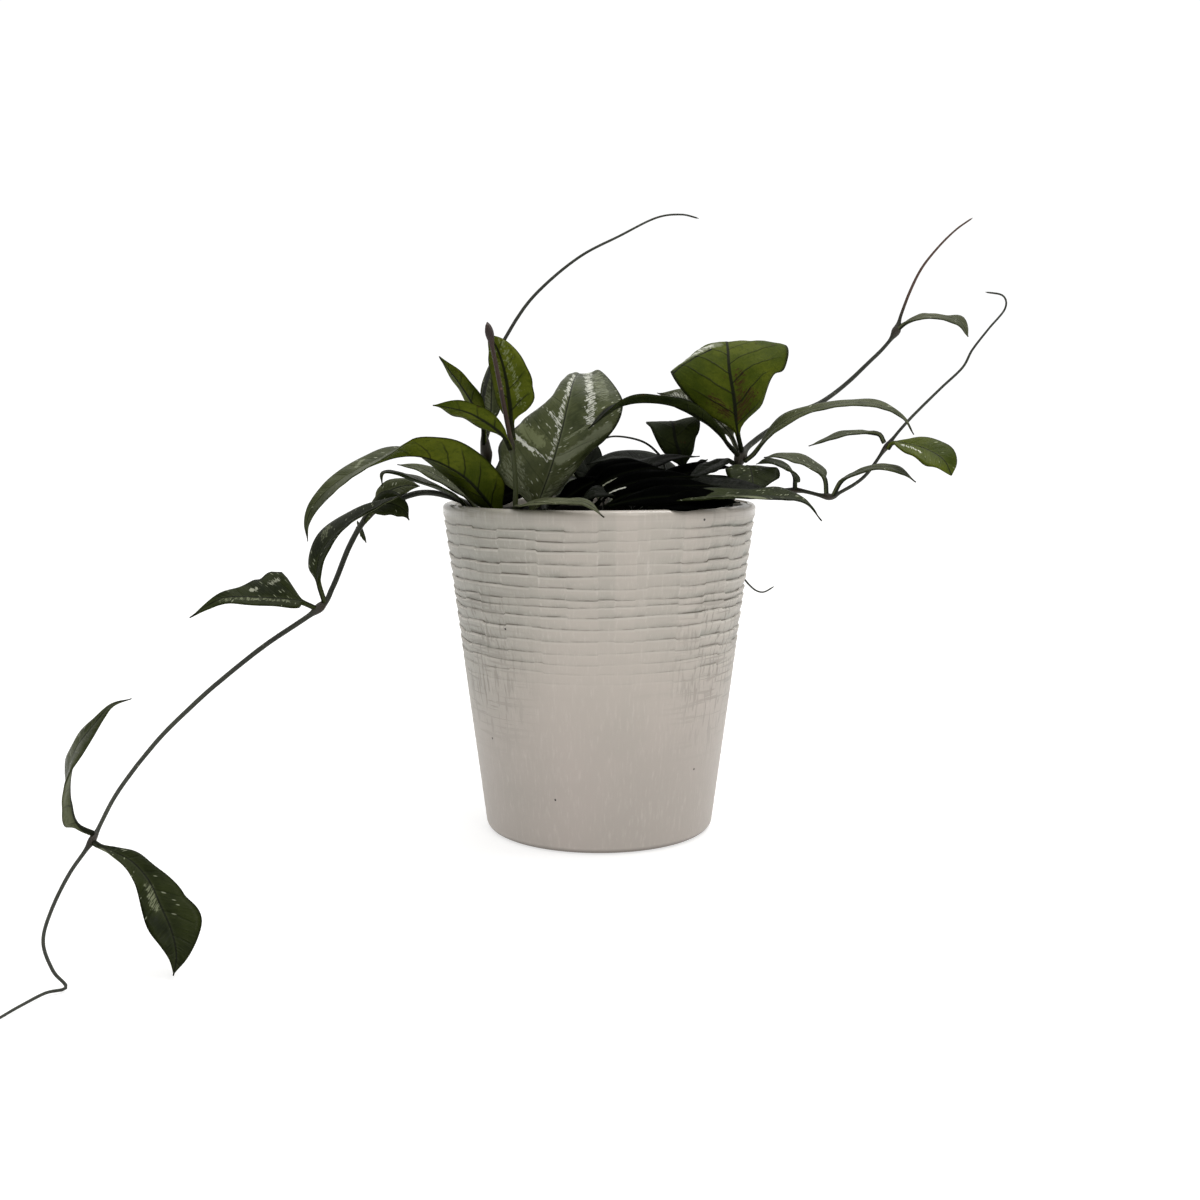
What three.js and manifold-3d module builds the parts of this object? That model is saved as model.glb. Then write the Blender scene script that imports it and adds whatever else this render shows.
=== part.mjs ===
// A hoya in a round glazed pot: pot, soil, vines and leaves, each a closed solid in millimetres.
import * as THREE from 'three';
import { mergeVertices } from 'three/addons/utils/BufferGeometryUtils.js';
import Module from 'manifold-3d';

const wasm = await Module();
wasm.setup();

// Driving sizes of the pot
const RIM_RADIUS = 70;
const POT_HEIGHT = 147;
const FOOT_RADIUS = 51;
const WALL = 5;
const FLOOR = 7;
const POT_SIDES = 40;
const BAND_STEP = 0.55;
const BAND_LIP = 0.5;
const BAND_FADE = 6;
const BAND_EDGES = [69.5, 75, 79.5, 83.5, 88, 93, 98.5, 103.5, 107.5, 110.5, 115.5, 120.5, 125,
  130.5, 134.8, 139];

// Driving sizes of the soil and of the fits between pieces
const SOIL_TOP = 135;
const SOIL_CROWN = 1.5;
const GAP = 0.3;

// Driving sizes of every leaf
const PETIOLE_RADIUS = 1.05;
const PETIOLE_LENGTH = 7;
const BLADE_THICK = 1.2;
const EDGE_THICK = 0.7;
const TIP_HALF_WIDTH = 0.55;
const BLADE_START = 0.14;
const POINT = 0.55;
const EVEN = [1, 1, 1, 1, 1, 1];
const COLUMN_WIDTH = 17;
const RIB_STEPS = 60;

// Driving sizes of every vine
const KNOT_REACH = 3;
const VINE_SIDES = 7;
const VINE_STEP = 6.5;

const COLOURS = {
  pot: [0xb3aca2, 0.35], soil: [0x2a2019, 0.95], vine: [0x3f4436, 0.6],
  shoot: [0x5a3a2c, 0.55], leaf: [0x33401f, 0.35], young: [0x4a5a17, 0.4],
};

// Vines: points in mm from the root to the tip, radius at the root and at the tip, and the knots
// where leaves grow, each as a fraction of the length and a swelling in mm.
const VINES = {
  vine_trailing: {
    path: [[-41, -3, 120], [-44, -5, 133], [-53, -8, 143], [-64, -13, 149.5], [-77, -20, 152],
      [-90, -30, 147.5], [-98, -35, 142.5], [-104.3, -43, 131], [-109.3, -56, 115], [-114, -62, 107],
      [-132, -80, 94.5], [-146, -94, 83], [-155, -104, 74.5], [-165, -116, 63.5], [-174, -133, 49],
      [-178, -149, 36], [-182, -161, 27.5], [-184, -173, 18.5], [-183, -183, 11.5],
      [-177, -191, 5], [-171, -196, 1.4], [-176, -200.5, 1.3], [-180, -211, 1.3], [-185, -226, 1.3],
      [-194, -237, 1.3], [-204, -243, 1.3]],
    radius: [1.45, 0.6], knots: [[0.217, 0.4], [0.341, 0.9], [0.681, 0.7]],
  },
  shoot_red: {
    path: [[-36, -40, 120], [-35, -42, 147], [-35, -42, 160], [-36.5, -43, 173], [-39.5, -44, 190],
      [-43, -43, 208], [-46, -42, 223]],
    radius: [1.25, 0.8], knots: [[0.185, 0.3], [0.513, 0.5]],
  },
  runner_tall: {
    path: [[-45, -8, 120], [-47, -9, 150], [-50, -10, 173], [-51, -9, 190], [-47, -7, 207],
      [-35, -3, 229], [-24, 0, 242], [-8, 3, 255], [9, 6, 264], [25, 8, 272], [36, 8, 273.5],
      [44, 6, 271.5]],
    radius: [1.2, 0.6], knots: [[0.26, 0.7]],
  },
  stem_left: {
    path: [[-36, -27, 120], [-37, -28, 131], [-36, -29, 140]],
    radius: [1.9, 1.7], knots: [],
  },
  stem_far_left: {
    path: [[-50, -20, 120], [-50, -20, 134], [-51, -21, 144]],
    radius: [1.6, 1.5], knots: [],
  },
  stem_right: {
    path: [[54, -3, 120], [56, -5, 138], [60, -8, 155], [62, -10, 167], [70, -3, 175], [88, 5, 186],
      [100, 8, 191.5], [111, 10, 199.5], [121, 10, 209], [128, 10, 216], [133, 10, 223],
      [135, 10, 230], [139, 10, 241], [144, 10, 251], [151, 9, 260], [158, 8, 267], [165, 7, 272]],
    radius: [1.7, 0.6], knots: [[0.237, 1.5], [0.705, 1.3]],
  },
  runner_low: {
    path: [[49, 14, 120], [53, 13, 136], [60, 9, 148], [71, 4, 151], [87, -6, 152.5],
      [100, -15, 150], [105, -16, 152], [115, -18, 159], [124, -20, 172], [133, -20, 183],
      [146, -19, 196], [156, -18, 205.5], [160, -18, 213], [167, -17, 222], [174, -16, 230.5],
      [173, -16, 236], [165, -17, 237.5]],
    radius: [1.1, 0.55], knots: [[0.306, 0.4], [0.385, 0.7], [0.551, 0.6]],
  },
  stem_centre: {
    path: [[37, 4, 120], [38, 4, 140], [38, 4, 157]],
    radius: [1.7, 1.4], knots: [],
  },
  stem_front: {
    path: [[14, -30, 120], [14, -31, 134], [14, -32, 146]],
    radius: [1.8, 1.5], knots: [],
  },
  stem_middle: {
    path: [[-23, -6, 120], [-23, -7, 134], [-23, -8, 147]],
    radius: [1.8, 1.5], knots: [],
  },
  tendril_arch: {
    path: [[31, 15, 120], [31, 14, 146], [30, 13, 161], [27, 13, 168], [19, 14, 174], [6, 15, 176],
      [-3, 15, 172]],
    radius: [0.8, 0.6], knots: [],
  },
  runner_back: {
    path: [[34, 34, 120], [38, 40, 140], [46, 51, 150], [55, 61, 147], [64, 67, 131], [70, 70, 110],
      [76, 71, 101], [82, 72, 98], [88, 72, 101]],
    radius: [1.1, 0.6], knots: [],
  },
  stem_back: {
    path: [[2, 32, 120], [2, 33, 134], [2, 34, 147]],
    radius: [1.8, 1.5], knots: [],
  },
};

// Leaves: the vine each grows on, its midrib from the vine to the tip (mm), the widest blade (mm)
// and the way its upper face looks half way along. Angles, in degrees: fold lifts both half
// blades, left and right bend their margins, and twist turns the blade from its foot to its tip.
// Lobes say how full the left and the right half are at six even places from foot to tip, and a
// larger point draws the tip out.
const LEAVES = {
  a1: { on: 'vine_trailing', width: 20, face: [-0.65, -0.6, 0.4],
    lobes: [[1, 0.9, 0.9, 0.95, 1, 1], [1, 0.75, 0.4, 0.35, 0.5, 0.9]],
    rib: [[-112, -61, 109.5], [-113.5, -65, 120], [-112, -62, 130], [-103.5, -54, 140.5],
      [-92, -46, 147.5], [-81.5, -40, 152.5]] },
  a2: { on: 'vine_trailing', width: 25, face: [-0.2, -0.75, 0.6], widest: 0.33, point: 0.4, stalk: 5,
    lobes: [[0.5, 0.5, 0.5, 0.5, 0.6, 0.6], [1.8, 1.2, 0.75, 0.5, 0.5, 0.6]],
    rib: [[-115, -63, 107], [-120, -67, 110], [-125, -74, 112], [-132, -82, 113.5], [-139, -88, 114.5],
      [-146, -92, 114], [-157, -95, 107.5]] },
  a3: { on: 'vine_trailing', width: 15, face: [-0.9, -0.5, 0.25], twist: 35, stalk: 4, point: 0.7,
    lobes: [[1, 1, 0.9, 0.65, 0.7, 1], [1, 1.4, 1.5, 1.2, 1, 1]],
    rib: [[-178, -148, 38], [-182, -152, 42], [-182, -157, 49], [-181, -161, 57], [-178, -166, 65.5],
      [-173.5, -170, 74], [-167, -173, 81.5], [-161, -172, 88.5], [-155, -170, 90.5]] },
  a4: { on: 'vine_trailing', width: 20, face: [0.5, -0.8, 0.4], widest: 0.62, right: [90, 0], stalk: 3,
    lobes: [[1, 0.85, 0.6, 0.85, 1.3, 1.2], [1, 1.1, 0.85, 0.75, 0.9, 1]],
    rib: [[-177, -149.5, 35], [-174, -154, 35.5], [-166, -160, 34.5], [-159, -164, 32.5],
      [-152, -169, 27.5], [-147, -174, 21], [-142, -179, 14], [-139, -184, 7.5], [-139, -188, 2]] },
  b1: { on: 'stem_left', width: 34, face: [-0.2, 0, 1], twist: -80, stalk: 4, widest: 0.33, fold: 17,
    lobes: [[0.95, 0.9, 0.95, 1.7, 1.8, 1.5], [1, 1, 0.9, 0.7, 0.75, 1.2]],
    rib: [[-37.5, -28, 137], [-45, -30, 146], [-55, -33, 158], [-65, -37, 165], [-74, -42, 168.5],
      [-83, -46, 168.5], [-92, -51, 165.5], [-101, -56, 161], [-109, -60, 155], [-115, -63, 148],
      [-117.5, -65, 141], [-117, -66, 134.5]] },
  b2: { on: 'stem_far_left', width: 11, face: [-0.2, -0.25, 0.9], point: 0.3,
    rib: [[-51.5, -20, 143], [-57, -17.5, 149.5], [-62, -16, 153.4], [-69, -14.5, 157.6], [-78, -14, 162],
      [-88, -14, 164]] },
  b3: { on: 'stem_far_left', width: 14, face: [-0.2, -0.35, 0.9], point: 0.8,
    rib: [[-51.5, -21.5, 138.5], [-60, -24, 149], [-68, -28, 154], [-78, -35, 158], [-85, -40, 161],
      [-90, -43, 161], [-90, -45, 155.5]] },
  b4: { on: 'vine_trailing', width: 10, face: [0.2, -0.7, 0.6], point: 0.2,
    rib: [[-96.5, -34.5, 144], [-95, -30, 149.5], [-89, -27, 153.2], [-83, -25, 155], [-77, -24, 155]] },
  b5: { on: 'vine_trailing', width: 13, face: [0.1, -0.75, 0.6], point: 0.5, stalk: 5,
    rib: [[-99, -36.5, 140.5], [-95, -38, 145.5], [-88.5, -38.5, 148], [-83, -36.5, 145.5],
      [-80.5, -34, 141]] },
  b6: { on: 'vine_trailing', width: 8, face: [-0.6, -0.5, 0.3], stalk: 3,
    rib: [[-101.5, -38.5, 137.8], [-101.5, -32, 137.5], [-100, -28, 131]] },
  c1: { on: 'shoot_red', width: 14, face: [0.2, 0.6, 0.75], young: true, widest: 0.55, point: 0.25,
    stalk: 4, lobes: [[1, 1, 0.85, 0.8, 0.9, 1], [1, 1.4, 1.3, 1.3, 1.3, 1]],
    rib: [[-36.8, -43.5, 171], [-39.2, -47, 176.5], [-44, -50, 181], [-52, -55, 186],
      [-60, -59, 188.2], [-66.5, -62, 188.7]] },
  c2: { on: 'runner_tall', width: 13, face: [0.55, 0.55, 0.6], young: true, point: 0.1,
    rib: [[-50.3, -11.3, 172.5], [-50.5, -13, 181], [-54, -15, 189.5], [-60, -19, 199.5],
      [-65, -22, 206], [-68, -24, 210]] },
  c3: { on: 'shoot_red', width: 19, face: [0.1, 0.9, 0.1], young: true, widest: 0.5, point: 0.1,
    lobes: [[1, 1.5, 1.15, 1, 1, 1], [1, 0.8, 0.7, 0.7, 0.8, 1]],
    rib: [[-35.6, -40.6, 175.2], [-36.4, -37.5, 180.3], [-37.2, -36.5, 189.4], [-39, -36, 201.6],
      [-42, -36, 211.8], [-46, -36, 218.3]] },
  c4: { on: 'runner_tall', width: 10, face: [0.1, -0.9, 0.1], point: 0.1,
    rib: [[-49.6, -8.8, 175.5], [-48, -5, 183], [-47.5, -3, 196.5], [-47, -4, 209.5]] },
  e1: { on: 'stem_left', width: 56, face: [0.1, -1, 0], fold: 12, widest: 0.5, left: [20, -260],
    right: [-170, 90], lobes: [[2.8, 1.3, 0.8, 0.5, 0.58, 0.75], [1, 0.9, 0.8, 0.85, 0.66, 0.8]],
    rib: [[-34.8, -29, 138], [-27, -29, 147], [-23, -31, 156], [-19.6, -33, 165.5], [-15.9, -35, 178],
      [-12.8, -33, 191.5], [-11, -25, 199], [-8.6, -10, 203], [-7, 6, 198]] },
  t1: { on: 'shoot_red', width: 14, face: [0, -0.28, 1],
    lobes: [[1, 1, 0.7, 0.75, 1.1, 1], [1, 1.2, 1.3, 1.3, 1.4, 1]],
    rib: [[-36, -42, 140], [-32, -52, 147.5], [-24, -64, 149.8], [-14, -71, 150.5], [-5, -75, 149.8],
      [2, -79.5, 145]] },
  f1: { on: 'stem_right', width: 16, face: [0, 0.12, 1], widest: 0.6, point: 0.1,
    lobes: [[1, 1, 1, 1.2, 1.5, 1.4], [1, 1, 1, 1.2, 1.5, 1.4]],
    rib: [[61.2, -10.8, 167.5], [57, -16, 171.5], [49, -25, 180], [38, -32, 187], [24, -40, 190.5],
      [9, -46, 189], [-4.5, -50, 179.5]] },
  g1: { on: 'stem_right', width: 56, face: [0, 0.7, -0.7], fold: -8, widest: 0.48,
    left: [60, 0], right: [0, 136], lobes: [[1.1, 0.85, 0.97, 1, 1, 1], [0.8, 0.93, 1, 0.82, 0.7, 1]],
    rib: [[62.3, -11.8, 169.8], [59.5, -16, 180], [58, -18, 192], [56, -16, 204.5], [56, -8, 213.5],
      [56, 4, 217], [54, 20, 211.5], [52, 34, 199]] },
  g2: { on: 'stem_right', width: 20, face: [-0.3, -0.5, 0.8],
    lobes: [[0.5, 0.5, 0.6, 0.7, 1, 1], [1, 1, 0.9, 0.8, 1, 1]],
    rib: [[61, -8, 169.5], [57, -2, 178], [44, 5, 190], [26, 10, 195.5]] },
  h1: { on: 'stem_right', width: 15, face: [0, -0.45, 0.9], twist: -14,
    lobes: [[1, 1.1, 0.5, 0.5, 1.1, 1.8], [1, 0.9, 0.45, 0.7, 0.95, 1.1]],
    rib: [[63.8, -12, 165.5], [67, -16, 168.5], [70, -20, 173], [76, -26, 180], [85, -30, 185.5],
      [94, -32, 188.2], [105, -33, 190], [117, -34, 189], [127, -36, 184], [131.5, -38, 177]] },
  i1: { on: 'runner_low', width: 14, face: [0.3, -0.45, 0.8], stalk: 3,
    lobes: [[1, 1, 1, 1, 1, 1], [1, 0.5, 0.4, 0.4, 0.6, 1]],
    rib: [[86.5, -7, 153.5], [85.5, -12, 158.5], [82.5, -17, 162.3], [77, -21, 164.8], [72, -25, 165.7],
      [67, -27, 164.5]] },
  k1: { on: 'runner_low', width: 13, face: [0.2, -0.35, 0.9],
    rib: [[99.3, -14, 151], [99, -11, 157.5], [96, -7, 161.5], [89, -4, 165], [80, -3, 167.3],
      [73, -3, 166.8]] },
  k2: { on: 'runner_low', width: 10, face: [0, -0.4, 0.92],
    lobes: [[1, 0.7, 0.5, 0.8, 1.3, 1.3], [1, 1, 0.9, 1, 1, 1]],
    rib: [[102, -17, 151], [104.5, -21, 157], [109, -25, 160], [115, -28, 162.5], [122, -30, 163],
      [129, -32, 160.5], [134, -33, 157]] },
  k3: { on: 'runner_low', width: 8, face: [0, -0.3, 0.95],
    rib: [[123, -19, 173.5], [120, -17, 177.5], [107, -15, 177], [91, -15, 172]] },
  k4: { on: 'runner_low', width: 22, face: [0.3, -0.75, 0.6], young: true, widest: 0.6, point: 0.15,
    stalk: 3, lobes: [[1, 0.8, 0.7, 0.75, 0.8, 1], [1, 1, 1, 1, 1, 1]],
    rib: [[124.3, -21, 171], [126, -23, 173.5], [130, -28, 173], [137, -33, 171], [144, -37, 166.5],
      [147.5, -39, 160]] },
  j1: { on: 'stem_right', width: 15, face: [0, -0.45, 0.9], widest: 0.6, point: 0.3, stalk: 3,
    lobes: [[2.2, 1.2, 0.45, 0.35, 0.8, 1.2], [1.5, 1, 0.8, 0.8, 1.1, 1.2]],
    rib: [[133, 10, 223], [137, 7, 226.5], [144, 3, 228.5], [152, 0, 228], [158, -2, 226],
      [162, -3, 219.5]] },
  l1: { on: 'stem_centre', width: 25, face: [0, 0.7, -0.7], fold: -6, widest: 0.5,
    lobes: [[1, 1, 1, 1, 1, 1], [1, 0.8, 0.85, 0.95, 1, 1]],
    rib: [[38, 4, 154], [37, 3, 165], [34, 2, 174], [33, 6, 181], [32, 17, 181.5], [31, 29, 173]] },
  m1: { on: 'stem_middle', width: 13, face: [-0.2, -0.5, 0.85],
    rib: [[-22.3, -8.8, 146], [-16, -10, 151], [-6, -12, 155.5], [5, -14, 159.7], [18, -16, 162.7],
      [31, -15, 166.6], [44, -11, 167.5]] },
  n1: { on: 'stem_centre', width: 9, face: [0, -0.3, 0.9],
    rib: [[38.5, 2.6, 152], [43, -1, 162], [48, -4, 166]] },
  p1: { on: 'stem_centre', width: 16, face: [0, -0.35, 0.93],
    rib: [[37.8, 5.3, 147], [36, 18, 155], [26, 28, 162.5], [10, 31, 166.5], [-6, 28, 163]] },
  p2: { on: 'stem_centre', width: 16, face: [0, -0.5, 0.85],
    rib: [[36.5, 4, 150], [30, 7, 157.5], [18, 4, 161], [7, 0, 160], [-2, -4, 156]] },
  p3: { on: 'stem_front', width: 9, face: [-0.1, -0.5, 0.85],
    rib: [[14, -30.8, 143], [11, -25.5, 149], [3, -24.5, 152], [-5, -25, 151.8], [-13, -28, 148.5]] },
  q1: { on: 'stem_front', width: 12, face: [0, -0.35, 0.9],
    rib: [[12.8, -32.8, 145.5], [7, -39, 151.5], [-1, -43, 152.5], [-8, -46, 149]] },
  q2: { on: 'stem_front', width: 12, face: [0, -0.6, 0.8],
    rib: [[15.3, -31, 145.5], [21, -36, 151.5], [32, -38, 155], [46, -39.5, 155.8], [60, -41, 155.2],
      [75, -42, 153.2]] },
  r1: { on: 'stem_front', width: 17, face: [0, -0.22, 0.98],
    lobes: [[1, 1, 1, 1.1, 2, 2.4], [1, 1, 1, 1.2, 1.5, 1.3]],
    rib: [[14.5, -33.4, 142], [23, -46, 149.5], [41, -54, 151.5], [58, -56, 152], [72, -57, 151.8],
      [84, -56, 149.5], [91, -55, 142]] },
  s1: { on: 'stem_right', width: 15, face: [-0.2, -0.4, 0.9],
    lobes: [[1, 1, 1, 1, 1, 1], [0.6, 0.6, 0.6, 0.7, 0.8, 1]],
    rib: [[60, -9.8, 163.8], [55, -16, 166], [50, -20, 164], [43, -25, 160.5], [38, -29, 157]] },
  s2: { on: 'stem_right', width: 24, face: [0.05, -0.8, 0.6], widest: 0.5,
    rib: [[62, -10.4, 160.8], [64.5, -18, 163], [65, -26, 161], [65, -33, 156.5], [65, -38.5, 151.5]] },
  u1: { on: 'stem_back', width: 24, face: [0, 0.3, 0.95],
    rib: [[1, 35, 145.5], [-8, 52, 156], [-22, 76, 152], [-32, 92, 132]] },
  u2: { on: 'stem_back', width: 24, face: [0, 0.3, 0.95],
    rib: [[3, 35, 142.5], [13, 54, 154], [23, 78, 152], [31, 98, 134]] },
  u3: { on: 'stem_back', width: 20, face: [0.2, -0.7, 0.5],
    rib: [[2, 33, 145.5], [-3, 31, 156], [-11, 36, 170], [-20, 46, 178]] },
  u4: { on: 'stem_middle', width: 22, face: [-0.3, 0.2, 0.9],
    rib: [[-23.8, -6.5, 143], [-31, 14, 155], [-43, 40, 158], [-56, 62, 144]] },
  u5: { on: 'stem_centre', width: 20, face: [0.2, 0.2, 0.9],
    rib: [[39.3, 4.5, 144], [50, 20, 154], [60, 35, 156], [68, 48, 147]] },
  u6: { on: 'stem_centre', width: 20, face: [0, 0.3, 0.9],
    rib: [[38, 5.3, 141.5], [36, 30, 153], [38, 58, 160], [42, 84, 144]] },
};

// Points and upright directions along a path, evenly spaced by arc length.
function carriedFrames(path, face, twist, steps) {
  const corners = path.map((p) => new THREE.Vector3(...p));
  const curve = new THREE.CatmullRomCurve3(corners, false, 'catmullrom', 0.5);
  const points = curve.getSpacedPoints(steps);
  const tangents = points.map((_, i) => points[Math.min(i + 1, steps)].clone()
    .sub(points[Math.max(i - 1, 0)]).normalize());
  const square = (v, t) => v.clone().addScaledVector(t, -v.dot(t)).normalize();
  const middle = Math.round(steps / 2);
  const faces = [];
  faces[middle] = square(new THREE.Vector3(...face), tangents[middle]);
  for (let i = middle + 1; i <= steps; i += 1) faces[i] = square(faces[i - 1], tangents[i]);
  for (let i = middle - 1; i >= 0; i -= 1) faces[i] = square(faces[i + 1], tangents[i]);
  faces.forEach((f, i) => f.applyAxisAngle(tangents[i], THREE.MathUtils.degToRad(twist * (i / steps - 0.5))));
  return { points, tangents, faces, length: curve.getLength() };
}

// One frame at a fraction of the path's length.
function frameAt(frames, fraction) {
  const last = frames.points.length - 1;
  const place = Math.min(Math.max(fraction, 0), 1) * last;
  const low = Math.min(Math.floor(place), last - 1);
  const mix = (list) => list[low].clone().lerp(list[low + 1], place - low);
  const tangent = mix(frames.tangents).normalize();
  const face = mix(frames.faces).normalize();
  return { point: mix(frames.points), face, side: tangent.clone().cross(face).normalize() };
}

// A closed skin over rings of equal count; slant(k) picks each quad's diagonal.
function loft(rings, slant, cap) {
  const count = rings[0].length;
  const at = (ring, k) => ring * count + (k % count);
  const faces = [];
  for (let ring = 0; ring < rings.length - 1; ring += 1) {
    for (let k = 0; k < count; k += 1) {
      const [a, b, c, d] = [at(ring, k), at(ring, k + 1), at(ring + 1, k + 1), at(ring + 1, k)];
      faces.push(...(slant(k) ? [a, b, c, a, c, d] : [a, b, d, b, c, d]));
    }
  }
  const end = (rings.length - 1) * count;
  cap.forEach(([a, b, c]) => faces.push(a, c, b, end + a, end + b, end + c));
  const geometry = new THREE.BufferGeometry();
  const numbers = rings.flat().flatMap((p) => [p.x, p.y, p.z]);
  geometry.setAttribute('position', new THREE.Float32BufferAttribute(numbers, 3));
  geometry.setIndex(faces);
  return geometry;
}

// A vine: round rings along its path, thinning to the tip, with a knot at each leaf pair. The extra
// grows it on every side, for the room it needs in its neighbours.
function vineGeometry({ path, radius, knots }, extra) {
  const length = carriedFrames(path, [0.3, 0.9, 0.2], 0, 100).length;
  const steps = Math.round(Math.max(6, length / VINE_STEP));
  const frames = carriedFrames(path, [0.3, 0.9, 0.2], 0, steps * 4);
  const rings = [];
  for (let i = 0; i <= steps; i += 1) {
    const s = i / steps;
    const { point, face, side } = frameAt(frames, s);
    const end = Number(i === steps) - Number(i === 0);
    point.addScaledVector(face.clone().cross(side), extra * end);
    const swell = knots.reduce((sum, [where, size]) => sum
      + size * Math.exp(-(((s - where) * length / KNOT_REACH) ** 2)), 0);
    const r = radius[0] + (radius[1] - radius[0]) * s + swell + extra;
    rings.push(Array.from({ length: VINE_SIDES }, (_, k) => {
      const turn = (k / VINE_SIDES) * Math.PI * 2;
      return point.clone().addScaledVector(side, -r * Math.cos(turn))
        .addScaledVector(face, r * Math.sin(turn));
    }));
  }
  const cap = Array.from({ length: VINE_SIDES - 2 }, (_, k) => [0, k + 1, k + 2]);
  return loft(rings, () => true, cap);
}

const smooth = (x) => THREE.MathUtils.smoothstep(x, 0, 1);

// Half width of a blade at a fraction of its length, as a share of its widest: an ellipse drawn
// out at the tip.
function outline(s, widest, point) {
  const turn = Math.PI * s ** (Math.log(0.5) / Math.log(widest));
  return Math.max(Math.sin(turn), 0) ** (0.75 + point * s);
}

// How full one half of a blade is at a fraction of its length, eased between six places.
function lobe(s, shares) {
  const place = Math.min(s * 5, 4.999);
  const low = Math.floor(place);
  return THREE.MathUtils.lerp(shares[low], shares[low + 1], smooth(place - low));
}

// A leaf: a round petiole that flattens into a blade bent along its midrib.
function leafGeometry(leaf) {
  const { rib, face, width, twist = 0, widest = 0.45, fold = 10, wave = 7 } = leaf;
  const { left = [0, 0], right = [0, 0], stalk: reach = PETIOLE_LENGTH } = leaf;
  const { point = POINT, lobes = [EVEN, EVEN] } = leaf;
  const columns = 2 * Math.min(1 + Math.floor(width / COLUMN_WIDTH), 3);
  const rows = columns > 2 ? 10 : 8;
  const frames = carriedFrames(rib, face, twist, RIB_STEPS);
  const stalk = Math.min(reach / frames.length, 0.3);
  const stations = [0, stalk * 0.6];
  for (let i = 0; i <= rows; i += 1) stations.push(stalk + (1 - stalk) * (i / rows));
  const rings = stations.map((place) => {
    const s = Math.max((place - stalk) / (1 - stalk), 0);
    const flat = smooth(s / BLADE_START);
    const least = THREE.MathUtils.lerp(PETIOLE_RADIUS, TIP_HALF_WIDTH, s);
    const even = (width / 2) * outline(s, widest, point);
    const frame = frameAt(frames, place);
    const upper = [];
    const lower = [];
    for (let k = 0; k <= columns; k += 1) {
      const u = (2 * k) / columns - 1;
      const half = Math.max(even * lobe(s, lobes[Number(u > 0)]), least);
      const blade = bladePoint(u, s, half, { fold, left, right, wave });
      const turn = Math.PI * (1 - (k + 0.5) / (columns + 1));
      const round = { x: PETIOLE_RADIUS * Math.cos(turn), y: PETIOLE_RADIUS * Math.sin(turn) };
      const mix = (sign) => frame.point.clone()
        .addScaledVector(frame.side, THREE.MathUtils.lerp(round.x, blade.x + sign * blade.nx, flat))
        .addScaledVector(frame.face, THREE.MathUtils.lerp(sign * round.y, blade.y + sign * blade.ny, flat));
      upper.push(mix(1));
      lower.unshift(mix(-1));
    }
    return [...upper, ...lower];
  });
  const count = columns + 1;
  const slant = (k) => (k < columns ? k < columns / 2 : 2 * columns - k >= columns / 2);
  const cap = [];
  for (let k = 0; k < columns; k += 1) {
    const [a, b, c, d] = [k, k + 1, 2 * count - 2 - k, 2 * count - 1 - k];
    cap.push([a, b, c], [a, c, d]);
  }
  return loft(rings, slant, cap);
}

// A point of a blade's section and its half thickness, both across the midrib.
function bladePoint(u, s, half, { fold, left, right, wave }) {
  const reach = Math.abs(u);
  const bend = THREE.MathUtils.lerp(...(u < 0 ? left : right), s);
  const ripple = wave * Math.sin(Math.PI * (5 * s + (u < 0 ? 0.6 : 0)));
  const angle = (r) => THREE.MathUtils.degToRad(fold + (bend + ripple) * r);
  const steps = 6;
  let x = 0;
  let y = 0;
  for (let i = 0; i < steps; i += 1) {
    const tilt = angle((reach * (i + 0.5)) / steps);
    x += (half * reach / steps) * Math.cos(tilt);
    y += (half * reach / steps) * Math.sin(tilt);
  }
  const thick = THREE.MathUtils.lerp(BLADE_THICK, EDGE_THICK, reach) / 2;
  const lean = reach === 0 ? 0 : angle(reach);
  const way = Math.sign(u);
  return { x: way * x, y, nx: -way * thick * Math.sin(lean), ny: thick * Math.cos(lean) };
}

// Radius of the pot's outside at a height, without its bands.
const potRadius = (z) => FOOT_RADIUS + (RIM_RADIUS - FOOT_RADIUS) * (z / POT_HEIGHT);

// The pot: a tapered cup with a rounded rim and foot, and stacked bands, each widest at its top.
function potGeometry() {
  const outside = [[0, 0], [FOOT_RADIUS - 3, 0], [FOOT_RADIUS - 1, 0.8], [potRadius(3), 3]];
  BAND_EDGES.forEach((z, i) => {
    const step = BAND_STEP * smooth((i + 1) / BAND_FADE);
    outside.push([potRadius(z), z - BAND_LIP], [potRadius(z) - step, z]);
  });
  const rim = [[RIM_RADIUS - 0.3, POT_HEIGHT - 3], [RIM_RADIUS - 0.6, POT_HEIGHT - 1],
    [RIM_RADIUS - 1.8, POT_HEIGHT], [RIM_RADIUS - WALL + 1.2, POT_HEIGHT],
    [RIM_RADIUS - WALL, POT_HEIGHT - 1.5]];
  const inside = [[potRadius(SOIL_TOP) - WALL, SOIL_TOP], [potRadius(FLOOR + 6) - WALL, FLOOR + 6],
    [potRadius(FLOOR) - WALL - 4, FLOOR], [0, FLOOR]];
  return lathe([...outside, ...rim, ...inside]);
}

// The soil: it fills the pot to just under the rim and rises a little in the middle.
function soilGeometry() {
  const wall = (z) => potRadius(z) - WALL - GAP;
  return lathe([[0, FLOOR + GAP], [wall(FLOOR) - 4, FLOOR + GAP], [wall(FLOOR + 6), FLOOR + 6 + GAP],
    [wall(SOIL_TOP), SOIL_TOP], [40, SOIL_TOP + SOIL_CROWN * 0.7], [0, SOIL_TOP + SOIL_CROWN]]);
}

// A profile turned about the upright axis.
function lathe(profile) {
  const geometry = new THREE.LatheGeometry(profile.map(([r, z]) => new THREE.Vector2(r, z)), POT_SIDES);
  return geometry.rotateX(Math.PI / 2);
}

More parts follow.
